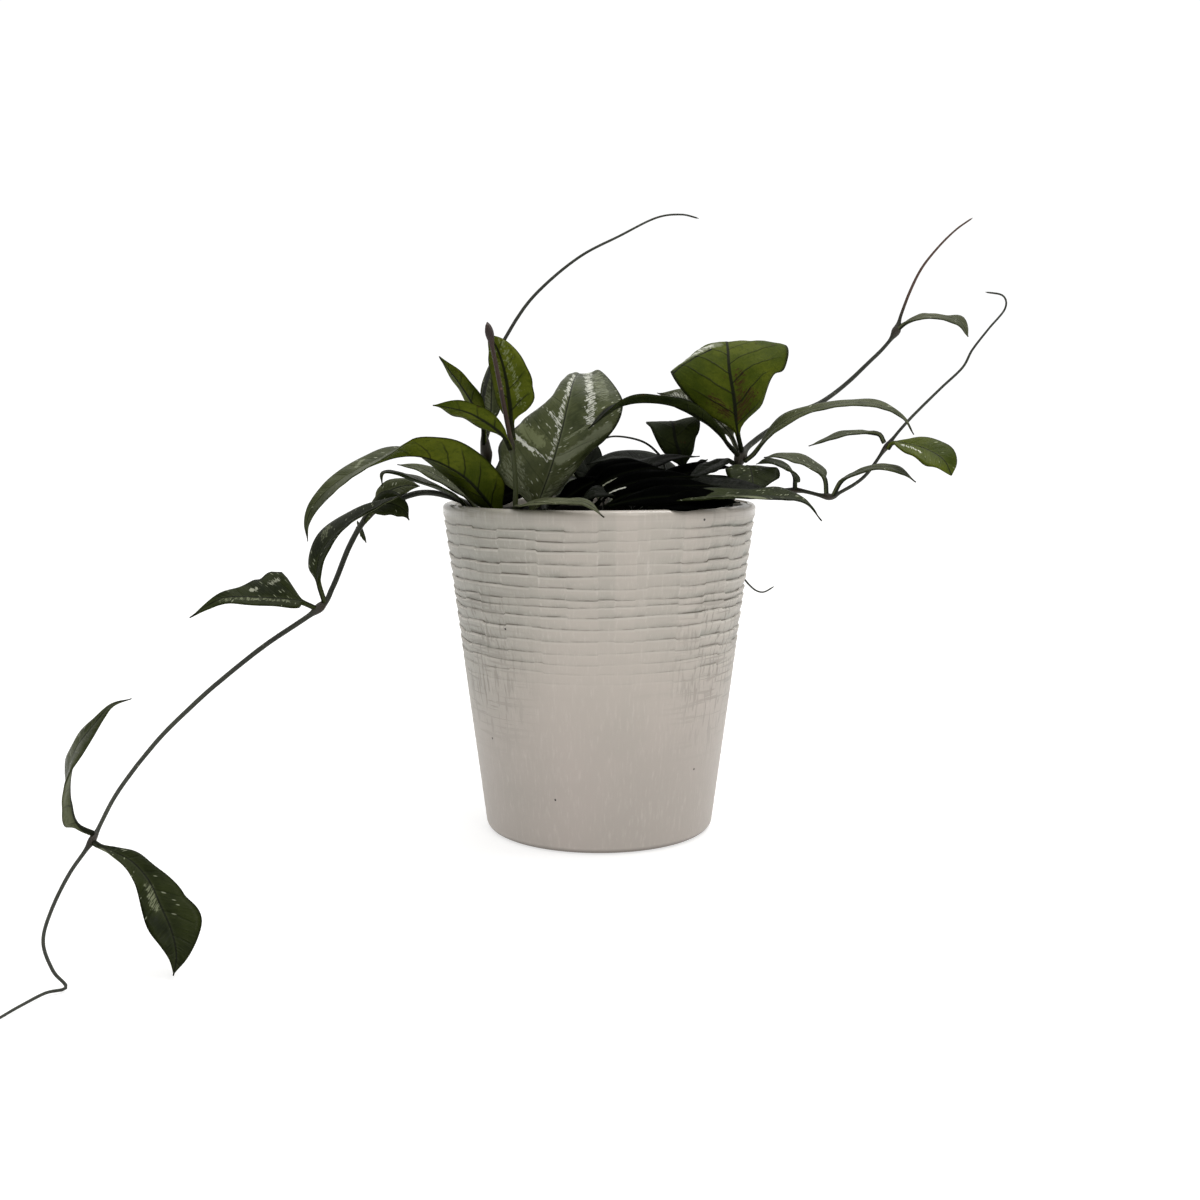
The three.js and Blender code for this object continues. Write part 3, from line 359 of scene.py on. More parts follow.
# Leaves: the widest blade (mm), the way its upper face looks half way along, and its midrib from
# the vine to the tip (mm). Widest is a share of the length, and a larger point draws the tip out.
# Angles, in degrees: fold lifts both half blades, left and right bend their margins at the foot
# and at the tip, and twist turns the blade from its foot to its tip. Lobes say how full the left
# and the right half are at six even places from foot to tip.
LEAVES = {
    "a1": dict(width=20, face=(-0.65, -0.6, 0.4),
        lobes=((1, 0.9, 0.9, 0.95, 1, 1), (1, 0.75, 0.4, 0.35, 0.5, 0.9)),
        rib=[(-112, -61, 109.5), (-113.5, -65, 120), (-112, -62, 130), (-103.5, -54, 140.5),
        (-92, -46, 147.5), (-81.5, -40, 152.5)]),
    "a2": dict(width=25, face=(-0.2, -0.75, 0.6), widest=0.33, point=0.4, stalk=5,
        lobes=((0.5, 0.5, 0.5, 0.5, 0.6, 0.6), (1.8, 1.2, 0.75, 0.5, 0.5, 0.6)),
        rib=[(-115, -63, 107), (-120, -67, 110), (-125, -74, 112), (-132, -82, 113.5), (-139, -88, 114.5),
        (-146, -92, 114), (-157, -95, 107.5)]),
    "a3": dict(width=15, face=(-0.9, -0.5, 0.25), point=0.7, stalk=4, twist=35,
        lobes=((1, 1, 0.9, 0.65, 0.7, 1), (1, 1.4, 1.5, 1.2, 1, 1)),
        rib=[(-178, -148, 38), (-182, -152, 42), (-182, -157, 49), (-181, -161, 57), (-178, -166, 65.5),
        (-173.5, -170, 74), (-167, -173, 81.5), (-161, -172, 88.5), (-155, -170, 90.5)]),
    "a4": dict(width=20, face=(0.5, -0.8, 0.4), widest=0.62, stalk=3, right=(90, 0),
        lobes=((1, 0.85, 0.6, 0.85, 1.3, 1.2), (1, 1.1, 0.85, 0.75, 0.9, 1)),
        rib=[(-177, -149.5, 35), (-174, -154, 35.5), (-166, -160, 34.5), (-159, -164, 32.5),
        (-152, -169, 27.5), (-147, -174, 21), (-142, -179, 14), (-139, -184, 7.5), (-139, -188, 2)]),
    "b1": dict(width=34, face=(-0.2, 0, 1), widest=0.33, stalk=4, fold=17, twist=-80,
        lobes=((0.95, 0.9, 0.95, 1.7, 1.8, 1.5), (1, 1, 0.9, 0.7, 0.75, 1.2)),
        rib=[(-37.5, -28, 137), (-45, -30, 146), (-55, -33, 158), (-65, -37, 165), (-74, -42, 168.5),
        (-83, -46, 168.5), (-92, -51, 165.5), (-101, -56, 161), (-109, -60, 155), (-115, -63, 148),
        (-117.5, -65, 141), (-117, -66, 134.5)]),
    "b2": dict(width=11, face=(-0.2, -0.25, 0.9), point=0.3,
        rib=[(-51.5, -20, 143), (-57, -17.5, 149.5), (-62, -16, 153.4), (-69, -14.5, 157.6),
        (-78, -14, 162), (-88, -14, 164)]),
    "b3": dict(width=14, face=(-0.2, -0.35, 0.9), point=0.8,
        rib=[(-51.5, -21.5, 138.5), (-60, -24, 149), (-68, -28, 154), (-78, -35, 158), (-85, -40, 161),
        (-90, -43, 161), (-90, -45, 155.5)]),
    "b4": dict(width=10, face=(0.2, -0.7, 0.6), point=0.2,
        rib=[(-96.5, -34.5, 144), (-95, -30, 149.5), (-89, -27, 153.2), (-83, -25, 155), (-77, -24, 155)]),
    "b5": dict(width=13, face=(0.1, -0.75, 0.6), point=0.5, stalk=5,
        rib=[(-99, -36.5, 140.5), (-95, -38, 145.5), (-88.5, -38.5, 148), (-83, -36.5, 145.5),
        (-80.5, -34, 141)]),
    "b6": dict(width=8, face=(-0.6, -0.5, 0.3), stalk=3,
        rib=[(-101.5, -38.5, 137.8), (-101.5, -32, 137.5), (-100, -28, 131)]),
    "c1": dict(width=14, face=(0.2, 0.6, 0.75), widest=0.55, point=0.25, stalk=4,
        lobes=((1, 1, 0.85, 0.8, 0.9, 1), (1, 1.4, 1.3, 1.3, 1.3, 1)),
        rib=[(-36.8, -43.5, 171), (-39.2, -47, 176.5), (-44, -50, 181), (-52, -55, 186), (-60, -59, 188.2),
        (-66.5, -62, 188.7)]),
    "c2": dict(width=13, face=(0.55, 0.55, 0.6), point=0.1,
        rib=[(-50.3, -11.3, 172.5), (-50.5, -13, 181), (-54, -15, 189.5), (-60, -19, 199.5),
        (-65, -22, 206), (-68, -24, 210)]),
    "c3": dict(width=19, face=(0.1, 0.9, 0.1), widest=0.5, point=0.1,
        lobes=((1, 1.5, 1.15, 1, 1, 1), (1, 0.8, 0.7, 0.7, 0.8, 1)),
        rib=[(-35.6, -40.6, 175.2), (-36.4, -37.5, 180.3), (-37.2, -36.5, 189.4), (-39, -36, 201.6),
        (-42, -36, 211.8), (-46, -36, 218.3)]),
    "c4": dict(width=10, face=(0.1, -0.9, 0.1), point=0.1,
        rib=[(-49.6, -8.8, 175.5), (-48, -5, 183), (-47.5, -3, 196.5), (-47, -4, 209.5)]),
    "e1": dict(width=56, face=(0.1, -1, 0), widest=0.5, fold=12, left=(20, -260), right=(-170, 90),
        lobes=((2.8, 1.3, 0.8, 0.5, 0.58, 0.75), (1, 0.9, 0.8, 0.85, 0.66, 0.8)),
        rib=[(-34.8, -29, 138), (-27, -29, 147), (-23, -31, 156), (-19.6, -33, 165.5), (-15.9, -35, 178),
        (-12.8, -33, 191.5), (-11, -25, 199), (-8.6, -10, 203), (-7, 6, 198)]),
    "t1": dict(width=14, face=(0, -0.28, 1), lobes=((1, 1, 0.7, 0.75, 1.1, 1), (1, 1.2, 1.3, 1.3, 1.4, 1)),
        rib=[(-36, -42, 140), (-32, -52, 147.5), (-24, -64, 149.8), (-14, -71, 150.5), (-5, -75, 149.8),
        (2, -79.5, 145)]),
    "f1": dict(width=16, face=(0, 0.12, 1), widest=0.6, point=0.1,
        lobes=((1, 1, 1, 1.2, 1.5, 1.4), (1, 1, 1, 1.2, 1.5, 1.4)),
        rib=[(61.2, -10.8, 167.5), (57, -16, 171.5), (49, -25, 180), (38, -32, 187), (24, -40, 190.5),
        (9, -46, 189), (-4.5, -50, 179.5)]),
    "g1": dict(width=56, face=(0, 0.7, -0.7), widest=0.48, fold=-8, left=(60, 0), right=(0, 136),
        lobes=((1.1, 0.85, 0.97, 1, 1, 1), (0.8, 0.93, 1, 0.82, 0.7, 1)),
        rib=[(62.3, -11.8, 169.8), (59.5, -16, 180), (58, -18, 192), (56, -16, 204.5), (56, -8, 213.5),
        (56, 4, 217), (54, 20, 211.5), (52, 34, 199)]),
    "g2": dict(width=20, face=(-0.3, -0.5, 0.8), lobes=((0.5, 0.5, 0.6, 0.7, 1, 1), (1, 1, 0.9, 0.8, 1, 1)),
        rib=[(61, -8, 169.5), (57, -2, 178), (44, 5, 190), (26, 10, 195.5)]),
    "h1": dict(width=15, face=(0, -0.45, 0.9), twist=-14,
        lobes=((1, 1.1, 0.5, 0.5, 1.1, 1.8), (1, 0.9, 0.45, 0.7, 0.95, 1.1)),
        rib=[(63.8, -12, 165.5), (67, -16, 168.5), (70, -20, 173), (76, -26, 180), (85, -30, 185.5),
        (94, -32, 188.2), (105, -33, 190), (117, -34, 189), (127, -36, 184), (131.5, -38, 177)]),
    "i1": dict(width=14, face=(0.3, -0.45, 0.8), stalk=3, lobes=(EVEN, (1, 0.5, 0.4, 0.4, 0.6, 1)),
        rib=[(86.5, -7, 153.5), (85.5, -12, 158.5), (82.5, -17, 162.3), (77, -21, 164.8), (72, -25, 165.7),
        (67, -27, 164.5)]),
    "k1": dict(width=13, face=(0.2, -0.35, 0.9),
        rib=[(99.3, -14, 151), (99, -11, 157.5), (96, -7, 161.5), (89, -4, 165), (80, -3, 167.3),
        (73, -3, 166.8)]),
    "k2": dict(width=10, face=(0, -0.4, 0.92), lobes=((1, 0.7, 0.5, 0.8, 1.3, 1.3), (1, 1, 0.9, 1, 1, 1)),
        rib=[(102, -17, 151), (104.5, -21, 157), (109, -25, 160), (115, -28, 162.5), (122, -30, 163),
        (129, -32, 160.5), (134, -33, 157)]),
    "k3": dict(width=8, face=(0, -0.3, 0.95),
        rib=[(123, -19, 173.5), (120, -17, 177.5), (107, -15, 177), (91, -15, 172)]),
    "k4": dict(width=22, face=(0.3, -0.75, 0.6), widest=0.6, point=0.15, stalk=3,
        lobes=((1, 0.8, 0.7, 0.75, 0.8, 1), EVEN),
        rib=[(124.3, -21, 171), (126, -23, 173.5), (130, -28, 173), (137, -33, 171), (144, -37, 166.5),
        (147.5, -39, 160)]),
    "j1": dict(width=15, face=(0, -0.45, 0.9), widest=0.6, point=0.3, stalk=3,
        lobes=((2.2, 1.2, 0.45, 0.35, 0.8, 1.2), (1.5, 1, 0.8, 0.8, 1.1, 1.2)),
        rib=[(133, 10, 223), (137, 7, 226.5), (144, 3, 228.5), (152, 0, 228), (158, -2, 226),
        (162, -3, 219.5)]),
    "l1": dict(width=25, face=(0, 0.7, -0.7), widest=0.5, fold=-6, lobes=(EVEN, (1, 0.8, 0.85, 0.95, 1, 1)),
        rib=[(38, 4, 154), (37, 3, 165), (34, 2, 174), (33, 6, 181), (32, 17, 181.5), (31, 29, 173)]),
    "m1": dict(width=13, face=(-0.2, -0.5, 0.85),
        rib=[(-22.3, -8.8, 146), (-16, -10, 151), (-6, -12, 155.5), (5, -14, 159.7), (18, -16, 162.7),
        (31, -15, 166.6), (44, -11, 167.5)]),
    "n1": dict(width=9, face=(0, -0.3, 0.9),
        rib=[(38.5, 2.6, 152), (43, -1, 162), (48, -4, 166)]),
    "p1": dict(width=16, face=(0, -0.35, 0.93),
        rib=[(37.8, 5.3, 147), (36, 18, 155), (26, 28, 162.5), (10, 31, 166.5), (-6, 28, 163)]),
    "p2": dict(width=16, face=(0, -0.5, 0.85),
        rib=[(36.5, 4, 150), (30, 7, 157.5), (18, 4, 161), (7, 0, 160), (-2, -4, 156)]),
    "p3": dict(width=9, face=(-0.1, -0.5, 0.85),
        rib=[(14, -30.8, 143), (11, -25.5, 149), (3, -24.5, 152), (-5, -25, 151.8), (-13, -28, 148.5)]),
    "q1": dict(width=12, face=(0, -0.35, 0.9),
        rib=[(12.8, -32.8, 145.5), (7, -39, 151.5), (-1, -43, 152.5), (-8, -46, 149)]),
    "q2": dict(width=12, face=(0, -0.6, 0.8),
        rib=[(15.3, -31, 145.5), (21, -36, 151.5), (32, -38, 155), (46, -39.5, 155.8), (60, -41, 155.2),
        (75, -42, 153.2)]),
    "r1": dict(width=17, face=(0, -0.22, 0.98), lobes=((1, 1, 1, 1.1, 2, 2.4), (1, 1, 1, 1.2, 1.5, 1.3)),
        rib=[(14.5, -33.4, 142), (23, -46, 149.5), (41, -54, 151.5), (58, -56, 152), (72, -57, 151.8),
        (84, -56, 149.5), (91, -55, 142)]),
    "s1": dict(width=15, face=(-0.2, -0.4, 0.9), lobes=(EVEN, (0.6, 0.6, 0.6, 0.7, 0.8, 1)),
        rib=[(60, -9.8, 163.8), (55, -16, 166), (50, -20, 164), (43, -25, 160.5), (38, -29, 157)]),
    "s2": dict(width=24, face=(0.05, -0.8, 0.6), widest=0.5,
        rib=[(62, -10.4, 160.8), (64.5, -18, 163), (65, -26, 161), (65, -33, 156.5), (65, -38.5, 151.5)]),
    "u1": dict(width=24, face=(0, 0.3, 0.95),
        rib=[(1, 35, 145.5), (-8, 52, 156), (-22, 76, 152), (-32, 92, 132)]),
    "u2": dict(width=24, face=(0, 0.3, 0.95),
        rib=[(3, 35, 142.5), (13, 54, 154), (23, 78, 152), (31, 98, 134)]),
    "u3": dict(width=20, face=(0.2, -0.7, 0.5),
        rib=[(2, 33, 145.5), (-3, 31, 156), (-11, 36, 170), (-20, 46, 178)]),
    "u4": dict(width=22, face=(-0.3, 0.2, 0.9),
        rib=[(-23.8, -6.5, 143), (-31, 14, 155), (-43, 40, 158), (-56, 62, 144)]),
    "u5": dict(width=20, face=(0.2, 0.2, 0.9),
        rib=[(39.3, 4.5, 144), (50, 20, 154), (60, 35, 156), (68, 48, 147)]),
    "u6": dict(width=20, face=(0, 0.3, 0.9),
        rib=[(38, 5.3, 141.5), (36, 30, 153), (38, 58, 160), (42, 84, 144)]),
}


def unit(vectors):
    """The same vectors at length one."""
    return vectors / np.linalg.norm(vectors, axis=-1, keepdims=True)


def smooth(value):
    """Eases from 0 to 1."""
    held = np.clip(value, 0.0, 1.0)
    return held * held * (3.0 - 2.0 * held)


def spaced_points(path, steps):
    """Evenly spaced points on a smooth curve through the path's corners, and its length."""
    corners = np.array(path, float)
    ends = 2 * corners[0] - corners[1], 2 * corners[-1] - corners[-2]
    padded = np.vstack([ends[0], corners, ends[1]])

    def at(t):
        place = np.clip(t, 0, 1) * (len(corners) - 1)
        low = np.minimum(place.astype(int), len(corners) - 2)
        f = (place - low)[:, None]
        p0, p1, p2, p3 = (padded[low + k] for k in range(4))
        t0, t1 = 0.5 * (p2 - p0), 0.5 * (p3 - p1)
        return p1 + t0 * f + (3 * p2 - 3 * p1 - 2 * t0 - t1) * f**2 + (2 * p1 - 2 * p2 + t0 + t1) * f**3

    places = np.linspace(0, 1, 201)
    strides = np.linalg.norm(np.diff(at(places), axis=0), axis=1)
    reach = np.concatenate([[0.0], np.cumsum(strides)])
    return at(np.interp(np.linspace(0, reach[-1], steps + 1), reach, places)), reach[-1]


def carried_frames(path, face, twist, steps):
    """Points, tangents and upright directions along a path, and its length."""
    points, length = spaced_points(path, steps)
    tangents = unit(np.vstack([points[1:], points[-1:]]) - np.vstack([points[:1], points[:-1]]))
    faces = np.zeros_like(points)

    def square(vector, tangent):
        return unit(vector - tangent * np.dot(vector, tangent))

    middle = round(steps / 2)
    faces[middle] = square(np.array(face, float), tangents[middle])
    for i in range(middle + 1, steps + 1):
        faces[i] = square(faces[i - 1], tangents[i])
    for i in range(middle - 1, -1, -1):
        faces[i] = square(faces[i + 1], tangents[i])
    turn = np.radians(twist * (np.arange(steps + 1) / steps - 0.5))[:, None]
    faces = faces * np.cos(turn) + np.cross(tangents, faces) * np.sin(turn)
    return points, tangents, faces, length


def frames_at(frames, fractions):
    """Point, side and face at fractions of the path's length."""
    points, tangents, faces, _ = frames
    places = np.clip(fractions, 0, 1) * (len(points) - 1)
    index = np.arange(len(points))

    def mix(rows):
        return np.stack([np.interp(places, index, rows[:, axis]) for axis in range(3)], axis=1)

    face = unit(mix(faces))
    return mix(points), unit(np.cross(unit(mix(tangents)), face)), face


def make_object(name, vertices, faces, materials, slots=None, smooth_shaded=True):
    """A mesh object from vertices in mm."""
    mesh = bpy.data.meshes.new(name)
    mesh.from_pydata((np.asarray(vertices) * MM).tolist(), [], faces)
    for material in materials:
        mesh.materials.append(material)
    if slots is not None:
        mesh.polygons.foreach_set("material_index", slots)
    mesh.polygons.foreach_set("use_smooth", [smooth_shaded] * len(mesh.polygons))
    mesh.update()
    thing = bpy.data.objects.new(name, mesh)
    bpy.context.scene.collection.objects.link(thing)
    return thing


def add_uv(thing, name, pairs):
    """A UV map from one pair to each vertex."""
    layer = thing.data.uv_layers.new(name=name)
    loops = np.zeros(len(thing.data.loops), int)
    thing.data.loops.foreach_get("vertex_index", loops)
    layer.data.foreach_set("uv", np.asarray(pairs, float).reshape(-1, 2)[loops].ravel())


def add_value(thing, name, values):
    """A number held by each vertex, for the material to read."""
    values = np.asarray(values, float).ravel()
    thing.data.attributes.new(name, "FLOAT", "POINT").data.foreach_set("value", values)


def dress(thing, node=None):
    """The piece moves with the plant, and stands for its node where it has one."""
    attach(thing, "root")
    if node:
        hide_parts(node)


def tube_faces(rings, count, start=0):
    """Quads that join equal rings of points, and a cap on both ends."""
    faces = []
    for ring in range(rings - 1):
        for k in range(count):
            a, b = start + ring * count + k, start + ring * count + (k + 1) % count
            faces.append((a, b, b + count, a + count))
    last = start + (rings - 1) * count
    return faces + [tuple(range(start, start + count))[::-1], tuple(range(last, last + count))]


# Shader nodes
OPERATIONS = {
    "__add__": "ADD", "__sub__": "SUBTRACT", "__mul__": "MULTIPLY", "__truediv__": "DIVIDE",
    "__gt__": "GREATER_THAN", "__lt__": "LESS_THAN", "__abs__": "ABSOLUTE",
}


class Value:
    """A number or place in a node tree, to reckon with like a plain one."""

    def __init__(self, shader, socket):
        self.shader = shader
        self.socket = socket

    def math(self, operation, *others):
        inputs = dict(enumerate((self, *others)))
        return self.shader.value("Math", 0, inputs, operation=operation)

    def ease(self, low, high, start=0.0, end=1.0):
        """Eases from start at low to end at high."""
        inputs = {0: self, "From Min": low, "From Max": high, "To Min": start, "To Max": end}
        return self.shader.value("MapRange", 0, inputs, interpolation_type="SMOOTHSTEP")

    def fall(self, low, high):
        """Eases from 1 at low to 0 at high."""
        return self.ease(low, high, 1.0, 0.0)


for sign, operation in OPERATIONS.items():
    setattr(Value, sign, partialmethod(Value.math, operation))


class Shader:
    """The nodes of a material or of the room, and the colour that is laid over step by step."""

    def __init__(self, owner, colour=None):
        self.owner = owner
        self.colour = colour
        owner.use_nodes = True
        self.tree = owner.node_tree
        self.tree.nodes.clear()

    def node(self, kind, inputs, **settings):
        node = self.tree.nodes.new("ShaderNode" + kind)
        for key, value in settings.items():
            setattr(node, key, value)
        for key, value in inputs.items():
            self.feed(node.inputs[key], value)
        return node

    def feed(self, socket, value):
        if isinstance(value, Value):
            self.tree.links.new(value.socket, socket)
        elif socket.type == "RGBA" and len(value) == 3:
            socket.default_value = (*value, 1.0)
        else:
            socket.default_value = value

    def value(self, kind, output, inputs, **settings):
        return Value(self, self.node(kind, inputs, **settings).outputs[output])

    def parts(self, kind, value):
        """The three numbers of a place or a colour."""
        return [Value(self, socket) for socket in self.node(kind, {0: value}).outputs]

    def join(self, x, y):
        return self.value("CombineXYZ", 0, {"X": x, "Y": y})

    def vector(self, operation, first, second, output="Vector"):
        return self.value("VectorMath", output, {0: first, 1: second}, operation=operation)

    def far(self, first, second):
        """Distance between two places."""
        return self.value("VectorMath", "Value", {0: self.vector("SUBTRACT", first, second)},
                          operation="LENGTH")

    def noise(self, vector, scale, detail=3.0, roughness=0.55):
        inputs = {"Vector": vector, "Scale": scale, "Detail": detail, "Roughness": roughness}
        return self.value("TexNoise", 0, inputs)

    def drawn_noise(self, scales, *settings):
        """Noise drawn out along the axes, where x and y have the same scale."""
        across, up = scales
        inputs = {"Vector": self.place(), "Scale": (across, across, up)}
        return self.noise(self.value("Mapping", 0, inputs), *settings)

    def cells(self, vector, scale):
        """Distance from the middle of the nearest cell, and the three numbers of that cell."""
        node = self.node("TexVoronoi", {"Vector": vector, "Scale": scale}, feature="F1")
        own = self.parts("SeparateColor", Value(self, node.outputs["Color"]))
        return Value(self, node.outputs["Distance"]), own

    def place(self, space="Object"):
        """Place on the plant, in metres."""
        return self.value("TexCoord", space, {})

    def uv(self, name):
        return self.parts("SeparateXYZ", self.value("UVMap", 0, {}, uv_map=name))[:2]

    def held(self, name):
        """What each vertex holds under a name."""
        return self.value("Attribute", "Fac", {}, attribute_name=name)

    def coat(self, mask, tint):
        """Lays a tint over the colour so far."""
        inputs = {0: mask, 6: self.colour, 7: tint}
        self.colour = self.value("Mix", 2, inputs, data_type="RGBA", clamp_factor=True)

    def bump(self, height, strength, distance):
        return self.value("Bump", 0, {"Height": height, "Strength": strength, "Distance": distance})

    def finish(self, roughness, normal, **extra):
        inputs = {"Base Color": self.colour, "Roughness": roughness, "Normal": normal}
        inputs.update({key.replace("_", " "): value for key, value in extra.items()})
        self.node("OutputMaterial", {0: self.value("BsdfPrincipled", 0, inputs)})
        return self.owner


def new_shader(name, colour):
    return Shader(bpy.data.materials.new(name), colour)


def blade_coordinates(shader):
    """Across and along in mm, both drawn along the side veins, and the shares of both."""
    across, along = shader.uv("reach")
    share, place = shader.uv("blade")
    x, y = across * 100.0, along * 100.0
    out = abs(x)
    right = share > 0.5
    edge = abs(share * 2.0 - 1.0)
    climb = y - out * VEIN_RISE
    return SimpleNamespace(x=x, y=y, out=out, climb=climb, edge=edge, right=right, place=place)


def side_veins(shader, blade):
    """Lines that leave the midrib in two offset rows and fade before the margin, 0 to 1."""
    wander = (shader.noise(shader.place(), 55.0) - 0.5) * 5.0
    turn = ((blade.climb + wander) / VEIN_SPACING + blade.right * VEIN_OFFSET).math("FRACT")
    off = abs(turn - 0.5) * VEIN_SPACING
    return off.fall(0.12, 0.6) * blade.edge.fall(0.55, 0.95)


def strokes(shader, blade, fine, coarse, low, high):
    """Broken strokes that follow the side veins, 0 to 1."""
    spot = shader.join((blade.out + blade.right * 40.0) * coarse, blade.climb * fine)
    return shader.noise(spot, 1.0, 3.0, 0.6).ease(low, high)


def line_mask(shader, spot, start, end, half, ragged):
    """1 close to a line across the blade and 0 away from it; all sizes in mm."""
    line = np.subtract(end, start)
    away = shader.vector("SUBTRACT", spot, (*start, 0.0))
    share = shader.vector("DOT_PRODUCT", away, (*line, 0.0), "Value") * (1 / max(line @ line, 0.01))
    held = share.math("MAXIMUM", 0.0).math("MINIMUM", 1.0)
    far = shader.far(away, shader.vector("MULTIPLY", shader.join(held, held), (*line, 0.0)))
    shake = (shader.noise(spot, 0.7, 4.0) - 0.5) * (ragged * 2)
    return (far + shake).fall(half * 0.6, half * 1.15)


def add_marks(shader, blade, leaf, marks):
    """Lays the marks of one leaf over its colour."""
    spot = shader.join(blade.x, blade.y)
    for start, end, half, ragged, tint, broken in marks:
        mask = line_mask(shader, spot, blade_spot(leaf, *start), blade_spot(leaf, *end), half, ragged)
        if broken:
            mask = mask * strokes(shader, blade, *MARK_STROKES)
        shader.coat(mask, tint)


def upper_material(name, look, leaf=None, marks=()):
    """The waxy upper face of a leaf, with a sunk midrib, strokes and scattered silver flecks."""
    dark, light, vein, fleck, roughness, shine, flecks = look
    shader = new_shader(name, dark)
    blade = blade_coordinates(shader)
    place = shader.place()
    side = side_veins(shader, blade)
    shader.coat(shader.noise(place, 42.0, 4.0, 0.6).ease(0.36, 0.64), light)
    streak = strokes(shader, blade, *STREAKS)
    shader.coat(streak * 0.4, light)
    shader.coat(strokes(shader, blade, *PITS) * 0.6, dark)
    far, own = shader.cells(shader.join(blade.x * 0.45, blade.climb), 0.75)
    crowd = shader.noise(place, 60.0, 2.0).ease(0.42, 0.62)
    dots = far.fall(0.12, 0.3) * (own[0] < crowd * flecks)
    shader.coat(dots * 0.8, fleck)
    add_marks(shader, blade, leaf, marks)
    shader.coat(side * 0.35, dark)
    shader.coat(blade.out.ease(0.4, 1.5, 0.45, 0.0) * blade.place.ease(0.1, 0.9, 1.0, 0.4), vein)
    shader.coat(blade.out.ease(0.15, 0.5, 0.85, 0.0), INK)
    shader.coat(blade.edge.ease(*MARGIN), INK)
    relief = shader.noise(place, 900.0, 2.0) * 0.15 + streak * 0.3 - side * 0.35
    gloss = shader.noise(place, 60.0, 3.0).ease(0.3, 0.7, roughness - 0.06, roughness + 0.1)
    return shader.finish(gloss, shader.bump(relief, 0.5, 0.0007), Specular_IOR_Level=shine)


def under_material(name, look, leaf=None, marks=()):
    """The matt underside of a leaf, with dark raised veins."""
    dark, light, strength = look
    shader = new_shader(name, dark)
    blade = blade_coordinates(shader)
    place = shader.place()
    side = side_veins(shader, blade)
    shader.coat(shader.noise(place, 45.0, 4.0).ease(0.35, 0.68), light)
    shader.coat(strokes(shader, blade, *UNDER_STREAKS) * 0.35, light)
    speck = shader.noise(place, 420.0, 3.0, 0.7).ease(0.48, 0.66, 0.0, 0.55)
    shader.coat(speck, dark)
    far, _ = shader.cells(place, 190.0)
    shader.coat(far.fall(0.1, 0.2) * shader.noise(place, 60.0).ease(0.54, 0.62) * 0.6, RUST)
    add_marks(shader, blade, leaf, marks)
    shader.coat(side * strength * blade.place.ease(0.1, 0.75, 1.0, 0.45), INK)
    rib = blade.out / blade.place.ease(0.0, 0.9, 1.3, 0.5)
    shader.coat(rib.ease(0.45, 0.95, 0.92, 0.0), INK)
    shader.coat(blade.edge.ease(*MARGIN), INK)
    relief = speck * 0.4 + side * 0.8
    return shader.finish(0.66, shader.bump(relief, 0.45, 0.0006), Specular_IOR_Level=0.08)


def vine_material(name, look, tint=None):
    """Bark of a vine: fine lengthwise streaks, pale lenticels and darker knots."""
    dark, light, pale, knot = BARK_LOOKS[look]
    shader = new_shader("bark_" + name, dark)
    place = shader.place()
    across, along = shader.uv("bark")
    streaks = shader.noise(shader.join(across * 6.0, along * 0.3), 4.0, 3.0).ease(0.4, 0.72)
    shader.coat(streaks, light)
    shader.coat(shader.noise(place, 40.0, 3.0).ease(0.45, 0.75, 0.0, 0.5), light)
    if tint:
        height = shader.parts("SeparateXYZ", place)[2]
        shader.coat(height.ease(*tint[1:]), tint[0])
    far, own = shader.cells(place, 520.0)
    mark = far.fall(0.15, 0.32) * (own[0] < 0.06)
    shader.coat(mark * 0.6, pale)
    shader.coat(shader.held("knot") * 0.7, knot)
    gloss = streaks.ease(0.0, 1.0, 0.42, 0.6)
    return shader.finish(gloss, shader.bump(streaks + mark, 0.4, 0.0003), Specular_IOR_Level=0.4)


def glaze_relief(shader, across, height):
    """Grain, brush lines and the woven grid low on both sides of the pot; smooth at the rim."""
    grain = shader.drawn_noise((10.0, 0.8), 95.0, 4.0, 0.7)
    weave = shader.drawn_noise((2.5, 10.0), 90.0, 3.0, 0.6)
    speck = shader.noise(shader.place(), 1400.0, 2.0)
    upright = shader.drawn_noise((10.0, 0.6), 60.0, 2.0).ease(0.54, 0.62)
    level = shader.drawn_noise((0.6, 10.0), 60.0, 2.0).ease(0.54, 0.62)
    grid = upright.math("MAXIMUM", level * 0.8)
    aside = abs(across).ease(0.2, 0.62)
    cuts = grid * aside * (height.ease(0.03, 0.075) * height.ease(0.105, 0.118, 1.0, 0.35))
    relief = grain * 0.7 + weave * 0.3 + speck * 0.25 - cuts
    return grain, cuts, relief * height.ease(0.138, 0.143, 1.0, 0.08)


def pinholes(shader, wall):
    """1 in the few small holes of the glaze."""
    masks = []
    for degrees, height in PINHOLES:
        spot = (degrees * WALL_PER_DEGREE, height / WALL_UNIT, 0.0)
        masks.append(shader.far(wall, spot) < PINHOLE_RADIUS / WALL_UNIT)
    return sum(masks[1:], masks[0])


